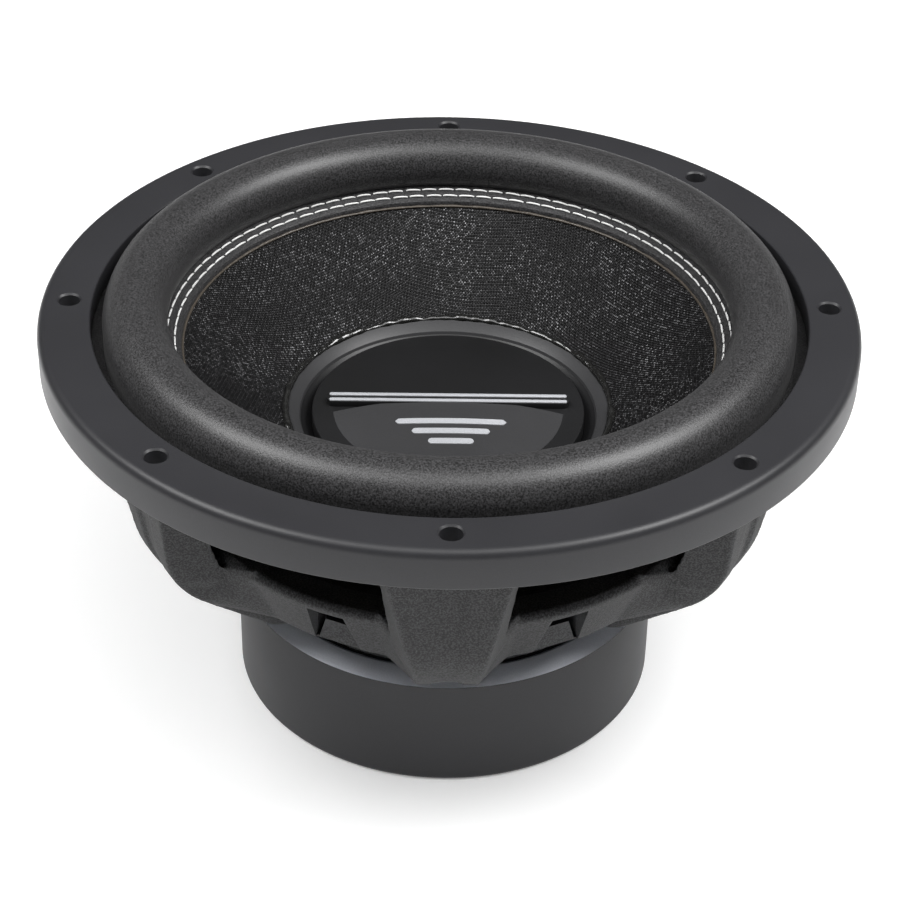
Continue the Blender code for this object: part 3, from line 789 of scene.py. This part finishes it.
def make_cap():
    carrier = rounded([
        (64.3, 124.2, 0.5), (59.7, 121.0, 0.3), (59.2, 119.9, 0.3), (51.5, 113.6, 0),
        (51.5, cone_top(51.5) + 0.4, 0), (64.8, cone_top(64.8) + 0.4, 0),
    ])
    ring = dress(turned("cap_carrier", carrier), "cap_ring_plastic", CONE_BODY, ["dust_cap_ring"])
    # painted shade: the carrier's shallow recess inside radius 59.3 takes the much darker cap plastic, standing
    # in for the shadow in it
    ring.data.materials.append(MATERIALS["cap_plastic"])
    for polygon in ring.data.polygons:
        polygon.material_index = int(polygon.center.xy.length < 59.3 * MM)
    disc = rounded([
        (0, 118.5, 0), (52.0, 118.5, 0), (52.0, 116.8, 0), (CAP_DISC_RADIUS, 116.8, 0),
        (CAP_DISC_RADIUS, 122.4, 0.6), (30.0, 122.5, 0), (0, 122.5, 0),
    ])
    dress(turned("cap_disc", disc), "cap_plastic", CONE_BODY, ["dust_cap"])
    make_cap_step()
    make_cap_motif()


def make_cap_step():
    """The raised near part of the disc, its far edge a shallow arc and its near edge round."""
    rim = CAP_DISC_RADIUS - 1.2
    half = 49.5
    columns, rows = 96, 40
    points = []
    for row in range(rows + 1):
        for column in range(columns + 1):
            across = 2 * column / columns - 1
            x = half * across
            far = STEP_CREST - STEP_RADIUS + math.sqrt(STEP_RADIUS**2 - x * x)
            start = math.atan2(STEP_CREST - 6.8, half)
            angle = -math.pi / 2 + across * (start + math.pi / 2)
            near = Vector(around(rim, angle))
            share = row / rows
            place = Vector((x, far)) * (1 - share) + near * share
            points.append((place.x, place.y, cap_height(place.x, place.y)))
    faces = []
    for row in range(rows):
        for column in range(columns):
            a = row * (columns + 1) + column
            faces.append((a, a + 1, a + columns + 2, a + columns + 1))
    top = mesh_object("cap_lens", points, faces)
    solid = top.modifiers.new("depth", "SOLIDIFY")
    solid.thickness = 3.0 * MM
    solid.offset = -1.0
    settled(top)
    softened(top, 0.35)
    # painted light: the raised lens belongs to the dark cap disc but takes the lighter ring plastic, a lit copy
    # of the disc's colour
    dress(top, "cap_plastic", CONE_BODY, look="cap_ring_plastic")


def half_ring(radius, first, steps=8):
    return [around(radius, math.radians(first + 180 * i / steps)) for i in range(steps + 1)]


def bar_part(x, y, half_length, half_width, low, high):
    """A straight bar with round ends."""
    ends = half_length - half_width
    outline = [(x + ends + dx, y + dy) for dx, dy in half_ring(half_width, -90)]
    outline += [(x - ends + dx, y + dy) for dx, dy in half_ring(half_width, 90)]
    return prism(outline, low, high)


def stripe_part(x, y, half_length, half_width, rise):
    """A bar with round ends that follows the dome of the lens."""
    steps = 40
    sections = []
    for step in range(steps + 1):
        along = half_length * (2 * step / steps - 1)
        past = max(0.0, abs(along) - half_length + half_width)
        half = max(0.15, math.sqrt(max(0.0, half_width**2 - past**2)))
        sections.append([
            (x + along, y + edge * half, cap_height(x + along, y + edge * half) + lift)
            for edge, lift in ((-1, -1.0), (1, -1.0), (1, rise), (-1, rise))
        ])
    return loft(sections)


def make_cap_motif():
    """A plain raised rail with two silver lines, and three silver stripes on the lens."""
    rail_y, rail_half, rail_top = 3.2, 49.0, 125.4
    plinth = mesh_object("cap_rail", *bar_part(0, rail_y, rail_half, 3.2, 120.5, rail_top - 0.4))
    softened(plinth, 0.3)
    dress(plinth, "cap_plastic", CONE_BODY)
    lines = [
        bar_part(0, rail_y + side * 1.9, rail_half - 1.2, 0.95, rail_top - 0.8, rail_top)
        for side in (-1, 1)
    ]
    rails = softened(mesh_object("cap_rail_lines", *gathered(lines)), 0.15)
    dress(rails, "cap_plastic", CONE_BODY, look="silver_paint")
    stripes = []
    for y, half_length in ((-13.0, 22.0), (-19.5, 15.5), (-26.0, 9.0)):
        stripes.append(stripe_part(1.0, y, half_length, 1.7, 0.3))
    bars = mesh_object("cap_stripes", *gathered(stripes))
    dress(bars, "cap_plastic", CONE_BODY, look="silver_paint")


# Voice coil


def make_coil():
    low, high = box_of("voice_coil_former")
    former = turned("coil_former", tube_corners(37.5, 38.1, low.z, high.z, 0.1), 2 * FINE_SEGMENTS)
    dress(former, "former_metal", CONE_BODY, ["voice_coil_former"])
    low, high = box_of("coil_winding_inner")
    for node, inner in (("coil_winding_inner", 38.4), ("coil_winding_outer", 39.7)):
        layer = turned(f"{node}_turns", winding_outline(inner, low.z, high.z), 2 * FINE_SEGMENTS)
        dress(layer, "copper_wire", CONE_BODY, [node])
    neck = 38.4
    under = CONE_THICK + 0.3
    joint = rounded([
        (neck, 97.2, 0.3), (42.2, 97.2, 1.2), (44.6, 100.6, 1.2),
        (44.6, cone_top(44.6) - under, 0.2), (neck, cone_top(neck) - under, 0),
    ])
    bead = turned("neck_glue", joint, 2 * FINE_SEGMENTS)
    dress(bead, "adhesive", CONE_BODY, ["neck_joint"], look="edge_glue")


def winding_outline(inner, low, high):
    """One layer of round wire, each turn showing as a ridge."""
    wire = 0.9
    turns = int((high - low) / wire)
    outline = [(inner, high), (inner, low)]
    for i in range(turns):
        centre = low + wire * (i + 0.5)
        for angle in (-50, 0, 50):
            x, y = around(wire / 2, math.radians(angle))
            outline.append((inner + 0.5 + x, centre + y))
    return outline


# Basket casting


ARM_COUNT = 6
ARM_TOP = (140.5, 156.5)
ARM_KNEE = (129.5, 86.4)
ARM_KNEE_RADIUS = 45.0
ARM_FOOT = (88.5, 54.2)
ARM_TOE = (87.3, 53.3)
ARM_INNER = [
    (132.0, 156.5), (114.5, 104.0), (112.0, 97.0), (110.5, 90.0), (103.0, 84.5), (93.5, 77.0),
    (76.0, 59.0), (70.0, 53.3),
]
ARM_HALF_WIDTHS = (12.2, 26.0)
ARM_DRAFTS = (8.6, 2.3)
VALLEY_HALF_WIDTH = 4.6
VALLEY_DEPTH = 1.3
BAND_TOP = 103.0
BAND_BOTTOM = 74.0
BAND_FOOT = 100.2
BAND_FOLD = (112.3, 99.8)
LEDGE_TOP = 88.6
WELL_RADIUS = 100.5
RECESS_OFFSET = math.radians(24.6)
SCREW_CIRCLE = 62.0


def arm_angles():
    return [-math.pi / 2 + math.tau * i / ARM_COUNT for i in range(ARM_COUNT)]


def screw_angles():
    return [angle + math.pi / ARM_COUNT for angle in arm_angles()]


def arm_share(height):
    """0 at the knee and below, 1 at the flange."""
    return min(1, max(0, (height - ARM_KNEE[1]) / (ARM_TOP[1] - ARM_KNEE[1])))


def arm_half_width(height, inner):
    share = arm_share(height)
    width = ARM_HALF_WIDTHS[0] + share * (ARM_HALF_WIDTHS[1] - ARM_HALF_WIDTHS[0])
    return width + inner * (ARM_DRAFTS[0] + share * (ARM_DRAFTS[1] - ARM_DRAFTS[0]))


def resampled(points, count):
    """Points at equal steps along a polyline."""
    points = [Vector(point) for point in points]
    lengths = [0.0]
    for a, b in zip(points, points[1:]):
        lengths.append(lengths[-1] + (b - a).length)
    made, span_index = [], 0
    for i in range(count):
        target = lengths[-1] * i / (count - 1)
        while span_index < len(points) - 2 and lengths[span_index + 1] < target:
            span_index += 1
        length = lengths[span_index + 1] - lengths[span_index]
        made.append(points[span_index].lerp(points[span_index + 1], (target - lengths[span_index]) / length))
    return made


def arm_part(angle):
    """One arm: drafted side walls and a shallow valley down its outer face."""
    sections = 30
    outer = resampled(arm_outline(), sections)
    inner = resampled(ARM_INNER, sections)
    turn = Matrix.Rotation(angle, 3, "Z")
    rings = []
    for out, back in zip(outer, inner):
        wide, wide_back = arm_half_width(out.y, 0), arm_half_width(back.y, 1)
        valley = VALLEY_HALF_WIDTH * (1 + 0.9 * arm_share(out.y))
        floor = out + (back - out).normalized() * (VALLEY_DEPTH * eased((out.y - 72) / 20))
        ring = [
            (out.x, -wide, out.y), (out.x, -valley, out.y), (floor.x, -0.6 * valley, floor.y),
            (floor.x, 0.6 * valley, floor.y), (out.x, valley, out.y), (out.x, wide, out.y),
            (back.x, wide_back, back.y), (back.x, -wide_back, back.y),
        ]
        rings.append([tuple(turn @ Vector(point)) for point in ring])
    return loft(rings)


def arm_outline():
    corners = [(*ARM_TOP, 0), (*ARM_KNEE, ARM_KNEE_RADIUS), (*ARM_FOOT, 0), (*ARM_TOE, 0)]
    return rounded(corners, 10)


def arm_radius(height):
    """Radius of an arm's outer face at a height."""
    outline = arm_outline()
    for (r1, z1), (r2, z2) in zip(outline, outline[1:]):
        if z2 <= height <= z1:
            return r2 + (r1 - r2) * (height - z2) / (z1 - z2)
    return outline[0][0]


WALL_INNER = 113.5  # where an arm's side wall ends at a window
WALL_FLARE = 5.3  # how much wider the arm is there
WEB_PEAK = 104.6


def band_radius(height):
    """Radius of the band's outer face, up to its fold."""
    share = (height - BAND_BOTTOM) / (BAND_FOLD[1] - BAND_BOTTOM)
    return BAND_FOOT + (BAND_FOLD[0] - BAND_FOOT) * min(1, share)


def web_part(angle, side, reach):
    """A gusset that carries an arm's side wall round into the band, as one broad facet."""
    end = math.radians(reach) * side
    turn = Matrix.Rotation(angle, 3, "Z")
    low, high, steps = 73.6, 97.0, 10
    rings = []
    for step in range(steps + 1):
        share = step / steps
        height = low + (high - low) * share
        band_height = BAND_BOTTOM - 0.2 + (WEB_PEAK - BAND_BOTTOM) * share
        inset = 0.6 + (arm_radius(high) - WALL_INNER) * eased(share)
        half_width = arm_half_width(height, 0) - 0.3 + WALL_FLARE * eased(share)
        wall = (arm_radius(height) - inset, side * half_width, height)
        ring = [
            wall, (*around(band_radius(band_height) - 0.4, end), band_height),
            (*around(98.5, end), band_height), (98.5, 0, height),
        ]
        rings.append([tuple(turn @ Vector(point)) for point in ring])
    return loft(rings)


def band_part():
    return lathe([
        (BAND_FOOT, BAND_BOTTOM), BAND_FOLD, (110.6, BAND_TOP), (98.5, BAND_TOP),
        (98.5, LEDGE_TOP), (92.0, LEDGE_TOP - 1), (92.0, BAND_BOTTOM),
    ], SEGMENTS)


def flange_part():
    flange_low, flange_high = GASKET_LOW.z, GASKET_LOW.z + 5.2
    return lathe([
        (156.2, flange_low), (156.2, flange_high), (130.0, flange_high), (130.0, 147.5),
        (133.5, 147.5), (135.5, flange_low),
    ], SEGMENTS)


def base_part():
    return lathe([
        (78.0, BASE_BOTTOM), (78.0, BASE_TOP), (49.5, BASE_TOP), (48.5, 58.6), (44.5, 58.6),
        (44.5, BASE_BOTTOM),
    ], SEGMENTS)


def channel_parts():
    """The open channel along the underside of each arm, its lips chamfered."""
    knee, foot = Vector((122.0, 80.5)), Vector(ARM_FOOT)
    along = (knee - foot).normalized()
    inward = Vector((-along.y, along.x))
    foot = foot - along * 4
    for half_width, depth in ((4.9, 3.8), (6.0, 0.9)):
        plan = [knee + inward * depth, foot + inward * depth, foot - inward * 4, knee - inward * 4]
        for angle in arm_angles():
            turn = Matrix.Rotation(angle, 3, "Z")
            yield loft([
                [tuple(turn @ Vector((point.x, side * half_width, point.y))) for point in plan]
                for side in (-1, 1)
            ])


def recess_parts():
    """Tapered pockets in the band beside every second arm, open through at the top and far side."""
    pocket = ((BAND_BOTTOM - 2, -9.8, 9.8, 98.6), (97.0, -7.6, 7.6, 101.6))
    slot = ((85.0, -8.4, 8.5, 90.0), (97.0, -7.6, 7.6, 90.0))
    gap = ((BAND_BOTTOM + 1, 8.4, 9.6, 90.0), (87.0, 4.4, 8.3, 90.0))
    for arm in arm_angles()[::2]:
        for side in (-1, 1):
            turn = Matrix.Rotation(arm + side * RECESS_OFFSET, 3, "Z")
            for rows in (pocket, slot, gap):
                yield loft([
                    [
                        tuple(turn @ Vector((radius, side * across, height)))
                        for radius, across in ((floor, near), (floor + 28, near), (floor + 28, far), (floor, far))
                    ]
                    for height, near, far, floor in rows
                ])


def upright_holes(radius, places, low, high):
    return [
        moved(lathe([(0, low), (radius, low), (radius, high), (0, high)], SMALL_SEGMENTS),
              Matrix.Translation((x, y, 0)))
        for x, y in places
    ]


def make_basket():
    parts = [arm_part(angle) for angle in arm_angles()]
    for index, angle in enumerate(arm_angles()):
        reach = 13.6 if index % 2 == 0 else 19.5
        parts += [web_part(angle, side, reach) for side in (-1, 1)]
    parts += [band_part(), flange_part(), base_part()]
    casting = mesh_object("basket_casting", *gathered(parts))
    remesh = casting.modifiers.new("skin", "REMESH")
    remesh.mode = "VOXEL"
    remesh.voxel_size = 1.0 * MM
    smooth = casting.modifiers.new("cast_edges", "SMOOTH")
    smooth.factor = 0.5
    smooth.iterations = 4
    settled(casting)
    well = lathe([(0, LEDGE_TOP), (WELL_RADIUS, LEDGE_TOP), (WELL_RADIUS, 108.0), (0, 108.0)])
    bore = lathe([(0, 50.0), (44.5, 50.0), (44.5, 90.0), (0, 90.0)])
    bolts = upright_holes(BOLT_RADIUS, ring_of(BOLT_CIRCLE, BOLT_COUNT, -math.pi / 2), 140, 170)
    screws = upright_holes(2.7, [around(SCREW_CIRCLE, angle) for angle in screw_angles()], 50, 60)
    cut(casting, [well], "MANIFOLD")
    cut(casting, [bore], "MANIFOLD")
    channels = list(channel_parts())
    recesses = list(recess_parts())
    for tools in (channels[:ARM_COUNT], channels[ARM_COUNT:], recesses[::3], recesses[1::3],
                  recesses[2::3], bolts + screws):
        cut(casting, tools, "MANIFOLD")
    dress(casting, "basket_paint", FRAME_BODY, ["basket"])


# Motor


def make_motor():
    back_low = box_of("yoke")[0].z
    back_top = back_low + 9.7
    yoke = rounded([
        (22.0, back_low, 0.4), (80.0, back_low, 0.8), (80.0, back_top, 0.8), (36.6, back_top, 1.5),
        (36.6, 57.0, 1.2), (15.0, 57.0, 1.2), (15.0, back_low + 7, 2.0),
    ])
    dress(turned("pole_and_plate", yoke, SEGMENTS), "motor_steel", FRAME_BODY, ["yoke"])
    low, high = box_of("top_plate")
    plate = turned("front_plate", tube_corners(42.0, 77.6, low.z, high.z, 0.8), SEGMENTS)
    places = [around(SCREW_CIRCLE, angle) for angle in screw_angles()]
    cut(plate, upright_holes(2.7, places, low.z - 5, high.z + 5))
    dress(plate, "black_steel", FRAME_BODY, ["top_plate"])
    for node in ("magnet_lower", "magnet_upper"):
        low, high = box_of(node)
        magnet = turned(f"{node}_ring", tube_corners(53.0, 82.5, low.z, high.z, 0.9), SEGMENTS)
        dress(magnet, "ferrite", FRAME_BODY, [node])
    low, high = box_of("shorting_ring")
    ring = turned("shorting_sleeve", tube_corners(43.5, 51.5, low.z, high.z, 0.4), 2 * FINE_SEGMENTS)
    dress(ring, "former_metal", FRAME_BODY, ["shorting_ring"])


def make_boot():
    """Rubber cup round the magnets, with a stepped shoulder and a lip over the top plate."""
    inner, lip = 82.9, 78.0
    outline = rounded([
        (30.0, 0.0, 0.6), (BOOT_RADIUS, 0.0, 2.6), (BOOT_RADIUS, 48.6, 0.6), (79.2, 52.6, 0.5),
        (lip, 52.2, 0.3), (lip, 42.8, 0), (inner, 42.8, 0), (inner, 3.0, 0),
        (30.0, 3.0, 0.6),
    ], 6)
    boot = dress(turned("boot_shell", outline), "boot_rubber", FRAME_BODY, ["magnet_boot"])
    # painted light: the shoulder's upward faces take that near-white finish, brightened where the basket shades
    # them
    boot.data.materials.append(MATERIALS["shoulder"])
    for polygon in boot.data.polygons:
        high = polygon.center.z > 48.6 * MM
        polygon.material_index = int(high and polygon.normal.z > 0.3)


def make_vent_screen():
    """A ring that holds crossing wires over the pole vent."""
    low, high = box_of("vent_screen")
    parts = [lathe(tube_corners(17.6, 23.0, low.z, high.z, 0.2), FINE_SEGMENTS)]
    pitch, reach, wire = 2.6, 18.2, 0.3
    middle = (low.z + high.z) / 2
    lines = int(reach / pitch)
    for turn in (0, 1):
        matrix = Matrix.Rotation(turn * math.pi / 2, 4, "Z")
        for i in range(-lines, lines + 1):
            half = math.sqrt(reach**2 - (i * pitch) ** 2)
            steps = 24
            run = []
            for step in range(steps + 1):
                x = half * (2 * step / steps - 1)
                lift = 0.18 * math.sin(math.pi * (x / pitch + i + turn))
                run.append((x, i * pitch, middle + lift))
            parts.append(moved(tube_along(run, wire, 6), matrix))
    screen = mesh_object("vent_mesh", *gathered(parts))
    dress(screen, "black_steel", FRAME_BODY, ["vent_screen"])


# Screws


def screw_parts(shank, head, tip, seat, rise, socket):
    """A pan head with a hexagon socket, on a threaded shank."""
    pitch = 0.8
    thread = []
    turns = int((seat - tip - 1.0) / pitch)
    for i in range(turns):
        thread += [(shank - 0.25, tip + 1 + pitch * i), (shank, tip + 1 + pitch * (i + 0.5))]
    outline = [(0, tip), (shank - 0.7, tip), *thread, (shank - 0.2, seat), (head - 0.2, seat)]
    outline += [(head, seat + 0.25), (head, seat + 0.55 * rise)]
    outline += [(0.93 * head, seat + 0.8 * rise), (0.78 * head, seat + rise), (0, seat + rise)]
    body = mesh_object("screw", *lathe(outline, SMALL_SEGMENTS))
    hexagon = prism(ring_of(socket, 6), seat + 0.35 * rise, seat + 2 * rise)
    return softened(cut(body, [hexagon]), 0.08, 1).data


def place_screw(mesh, node, x, y):
    obj = bpy.data.objects.new(f"{node}_head", mesh.copy())
    bpy.context.scene.collection.objects.link(obj)
    obj.data.transform(Matrix.Translation((x * MM, y * MM, 0)))
    dress(obj, "screw_steel", FRAME_BODY, [node])


def make_screws():
    seat = BASE_TOP + 0.3
    mesh = screw_parts(2.4, 4.4, 44.0, seat, 3.2, 2.3)
    for number, angle in enumerate(screw_angles(), 1):
        place_screw(mesh, f"basket_screw_{number}", *around(SCREW_CIRCLE, angle))
    mesh = screw_parts(1.5, 3.2, 93.0, BLOCK_HIGH + 0.3, 2.0, 1.6)
    for number, angle in enumerate(BLOCK_ANGLES, 1):
        place_screw(mesh, f"terminal_screw_{number}", *around(BAND_SCREW_RADIUS, angle))
    for obj in [o for o in bpy.data.objects if o.name.startswith("screw")]:
        bpy.data.objects.remove(obj)


# Push terminals


BLOCK_ANGLES = (math.radians(60), math.radians(120))
BLOCK_LOW = BAND_TOP + 0.3
BLOCK_HIGH = BLOCK_LOW + 16.0
BLOCK_INNER = 104.0
BLOCK_OUTER = 118.0
BLOCK_HALF_WIDTH = 17.0
BAND_SCREW_RADIUS = 110.4
POST_RADIUS = 112.5
POST_OFFSET = 8.5
BORE_FLOOR = BLOCK_LOW + 3.0
WIRE_HOLE_HEIGHT = 110.5


def make_block(number, turn):
    middle = (BLOCK_INNER + BLOCK_OUTER) / 2
    depth = (BLOCK_OUTER - BLOCK_INNER) / 2
    plan = rounded([
        (middle - depth, -BLOCK_HALF_WIDTH, 2), (middle + depth, -BLOCK_HALF_WIDTH, 2),
        (middle + depth, BLOCK_HALF_WIDTH, 2), (middle - depth, BLOCK_HALF_WIDTH, 2),
    ])
    block = mesh_object(f"terminal_body_{number}", *moved(prism(plan, BLOCK_LOW, BLOCK_HIGH), turn))
    sides = (-1, 1)
    bores = [(POST_RADIUS, side * POST_OFFSET) for side in sides]
    tools = upright_holes(3.2, bores, BORE_FLOOR, BLOCK_HIGH + 5)
    tools += upright_holes(1.8, [(BAND_SCREW_RADIUS, 0)], BLOCK_LOW - 5, BLOCK_HIGH + 5)
    lying = Matrix.Rotation(math.pi / 2, 4, "Y")
    funnel = [(0, 0), (1.8, 0), (1.8, 3.6), (2.9, 6.5), (2.9, 12), (0, 12)]
    for side in sides:
        place = Matrix.Translation((POST_RADIUS, side * POST_OFFSET, WIRE_HOLE_HEIGHT))
        tools.append(moved(lathe(funnel, SMALL_SEGMENTS), place @ lying))
    groove = prism([(112.0, -0.6), (125.0, -0.6), (125.0, 0.6), (112.0, 0.6)], BLOCK_LOW - 1, 105.5)
    tools.append(groove)
    for tool in tools:
        cut(block, [moved(tool, turn)])
    softened(block, 0.35)
    dress(block, "terminal_plastic", FRAME_BODY, [f"terminal_block_{number}"])


def make_button(number, turn, side):
    low, high = box_of(f"push_button_{number}")
    cap = high.z - 4.4
    plan = rounded([
        (0, low.z, 0), (2.9, low.z, 0.3), (2.9, cap, 0.2), (4.4, cap, 0.4), (4.4, cap + 1.3, 0.15),
        (4.1, cap + 1.5, 0.1), (4.1, cap + 1.9, 0.1), (4.4, cap + 2.1, 0.15),
        (4.4, cap + 4.4, 1.0), (2.4, cap + 4.2, 0.3), (0, cap + 3.9, 0),
    ], 3)
    place = turn @ Matrix.Translation((POST_RADIUS, side * POST_OFFSET, 0))
    button = mesh_object(f"button_cap_{number}", *moved(lathe(plan, SMALL_SEGMENTS), place))
    slot = "button_red" if side > 0 else "button_black"
    dress(button, slot, f"button_{number}", [f"push_button_{number}"])


def make_spring(number, turn, side):
    turns, per_turn, radius, wire = 3.5, 24, 2.2, 0.35
    low = BORE_FLOOR + wire + 0.3
    high = BORE_FLOOR + 8.4 - wire - 0.3
    count = int(turns * per_turn)
    coil = []
    for i in range(count + 1):
        x, y = around(radius, math.tau * i / per_turn)
        coil.append((POST_RADIUS + x, side * POST_OFFSET + y, low + (high - low) * i / count))
    spring = mesh_object(f"spring_{number}", *moved(tube_along(coil, wire, 8), turn), sharp=60)
    dress(spring, "spring_steel", replaces=[f"button_spring_{number}"])
    bend_between(spring, lambda point: (point.z - low) / (high - low))


def make_lug(number, turn, side):
    """An angle strip with a blob of solder near its end, on the block's inner face."""
    back, thick, tab, end, half_width = 103.7, 0.8, 107.0, 96.5, 2.5
    front = back - thick
    plan = rounded([
        (back, tab - thick, 0.9), (back, 114.0, 0), (front, 114.0, 0), (front, tab, 0.3),
        (end, tab, 0), (end, tab - thick, 0),
    ], 3)
    across = half_width
    strip = loft([
        [(r, side * POST_OFFSET + edge * across, z) for r, z in plan] for edge in (-1, 1)
    ])
    lug = mesh_object(f"lug_{number}", *moved(strip, turn))
    softened(lug, 0.12, 1)
    dress(lug, "lug_brass", FRAME_BODY, [f"solder_lug_{number}"])
    blob = lathe(rounded([(0, 0, 0), (1.9, 0, 0.3), (1.2, 1.2, 0.6), (0, 1.5, 0)], 3), SMALL_SEGMENTS)
    place = turn @ Matrix.Translation((end + 2.2, side * POST_OFFSET, tab - 0.05))
    solder = mesh_object(f"solder_{number}", *moved(blob, place))
    dress(solder, "lug_brass", FRAME_BODY, look="spring_steel")


LEAD_RADIUS = 0.7


def make_lead(number, turn, side):
    """A braided lead: three strands twisted round each other, with slack for the cone's travel."""
    start, finish_at = POST_OFFSET * side, 6.0 * side
    route = smooth_path([
        (98.0, start, 108.0), (90.0, start, 111.5), (79.0, 0.95 * start + 0.05 * finish_at, 115.0),
        (67.0, 0.7 * start + 0.3 * finish_at, 111.5), (55.0, 0.3 * start + 0.7 * finish_at, 103.5),
        (46.2, finish_at, 100.8),
    ], 22)
    strand, lay = 0.36, 5.0
    parts = []
    for phase in range(3):
        run, length = [], 0.0
        for i, point in enumerate(route):
            before, after = route[max(i - 1, 0)], route[min(i + 1, len(route) - 1)]
            along = (after - before).normalized()
            across = Vector((0, 1, 0))
            upright = along.cross(across)
            length += (point - before).length
            x, y = around(LEAD_RADIUS - strand, math.tau * (length / lay + phase / 3))
            run.append(point + across * x + upright * y)
        parts.append(moved(tube_along(run, strand, 8), turn))
    lead = mesh_object(f"braid_{number}", *gathered(parts), sharp=80)
    dress(lead, "lead_braid", replaces=[f"tinsel_lead_{number}"])
    bend_between(lead, radial_share(47.5, 96.0))


def make_terminals():
    number = 0
    for block_number, angle in enumerate(BLOCK_ANGLES, 1):
        turn = Matrix.Rotation(angle, 4, "Z")
        make_block(block_number, turn)
        for side in (-1, 1):
            number += 1
            make_button(number, turn, side)
            make_spring(number, turn, side)
            make_lug(number, turn, side)
            make_lead(number, turn, side)


# Studio


def make_floor():
    """A pale, faintly glowing table."""
    size = 6.0
    mesh = bpy.data.meshes.new("floor")
    corners = [(-size, -size, 0), (size, -size, 0), (size, size, 0), (-size, size, 0)]
    mesh.from_pydata(corners, [], [(0, 1, 2, 3)])
    floor = bpy.data.objects.new("floor", mesh)
    bpy.context.scene.collection.objects.link(floor)
    material, tree, shader = new_material("floor", 0.8)
    colour = mix_colour(tree, noise(tree, 9.0, 3.0), (0.90, 0.90, 0.90), (0.94, 0.94, 0.94))
    feed(tree, shader, Base_Color=colour)
    shader.inputs["Specular IOR Level"].default_value = 0.1
    shader.inputs["Emission Color"].default_value = (1.0, 1.0, 1.0, 1.0)
    shader.inputs["Emission Strength"].default_value = FLOOR_GLOW
    mesh.materials.append(material)


def make_world():
    """A white backdrop that lights the driver much less than it shows."""
    world = bpy.data.worlds.new("studio")
    bpy.context.scene.world = world
    world.use_nodes = True
    tree = world.node_tree
    seen = add_node(tree, "ShaderNodeLightPath").outputs["Is Camera Ray"]
    background = tree.nodes["Background"]
    tree.links.new(span(tree, seen, AMBIENT, 1.0), background.inputs["Strength"])
    background.inputs["Color"].default_value = (1.0, 1.0, 1.0, 1.0)


def add_softbox(name, azimuth, elevation, distance, size, power):
    """A large area light aimed at the driver. Azimuth 0 is in front, 90 to the right."""
    data = bpy.data.lights.new(name, "AREA")
    data.shape = "RECTANGLE"
    data.size, data.size_y = size
    data.energy = power
    light = bpy.data.objects.new(name, data)
    bpy.context.scene.collection.objects.link(light)
    turn, rise = math.radians(azimuth), math.radians(elevation)
    away = Vector((math.sin(turn) * math.cos(rise), -math.cos(turn) * math.cos(rise), math.sin(rise)))
    light.location = Vector((0, 0, 0.12)) + away * distance
    light.rotation_euler = away.to_track_quat("Z", "Y").to_euler()


def make_lights():
    add_softbox("top_light", 0, 70, 1.6, (1.4, 0.9), TOP_POWER)
    add_softbox("front_strip", 0, 52, 1.7, (1.6, 0.14), STRIP_POWER)
    add_softbox("left_side", 278, 52, 1.5, (0.9, 0.6), SIDE_POWER)
    add_softbox("right_side", 82, 54, 1.5, (0.8, 0.6), SIDE_POWER * 1.25)
    add_softbox("rear_light", 180, 34, 1.8, (1.0, 0.3), REAR_POWER)


AMBIENT = 0.06
FLOOR_GLOW = 0.22
TOP_POWER = 12.0
STRIP_POWER = 1.2
REAR_POWER = 0.2
SIDE_POWER = 18.0


VIEW_DISTANCE = 0.9634  # from the gasket's centre
VIEW_ELEVATION = 31.67
VIEW_AZIMUTH = 0.71
VIEW_ROLL = -1.03
VIEW_TILT = 3.40  # the driver's gasket lies above the middle of the picture
LENS = 98.48


def make_camera():
    data = bpy.data.cameras.new("camera")
    data.lens = LENS
    data.sensor_width = 36.0
    data.clip_start = 0.01
    camera = bpy.data.objects.new("camera", data)
    bpy.context.scene.collection.objects.link(camera)
    swing = Matrix.Rotation(-math.radians(VIEW_AZIMUTH), 4, "Z")
    swing = swing @ Matrix.Rotation(math.radians(90 - VIEW_ELEVATION), 4, "X")
    aim = Matrix.Rotation(-math.radians(VIEW_ROLL), 4, "Z")
    aim = aim @ Matrix.Rotation(-math.radians(VIEW_TILT), 4, "X")
    centre = Matrix.Translation((0, 0, GASKET_HIGH.z * MM))
    camera.matrix_world = centre @ swing @ Matrix.Translation((0, 0, VIEW_DISTANCE)) @ aim
    bpy.context.scene.camera = camera


def main():
    make_camera()
    make_gasket()
    make_surround()
    make_spiders()
    make_cone()
    make_glue()
    make_stitches()
    make_cap()
    make_coil()
    make_basket()
    make_motor()
    make_boot()
    make_vent_screen()
    make_screws()
    make_terminals()
    make_floor()
    make_world()
    make_lights()
    bpy.context.scene.view_settings.view_transform = "Standard"


main()
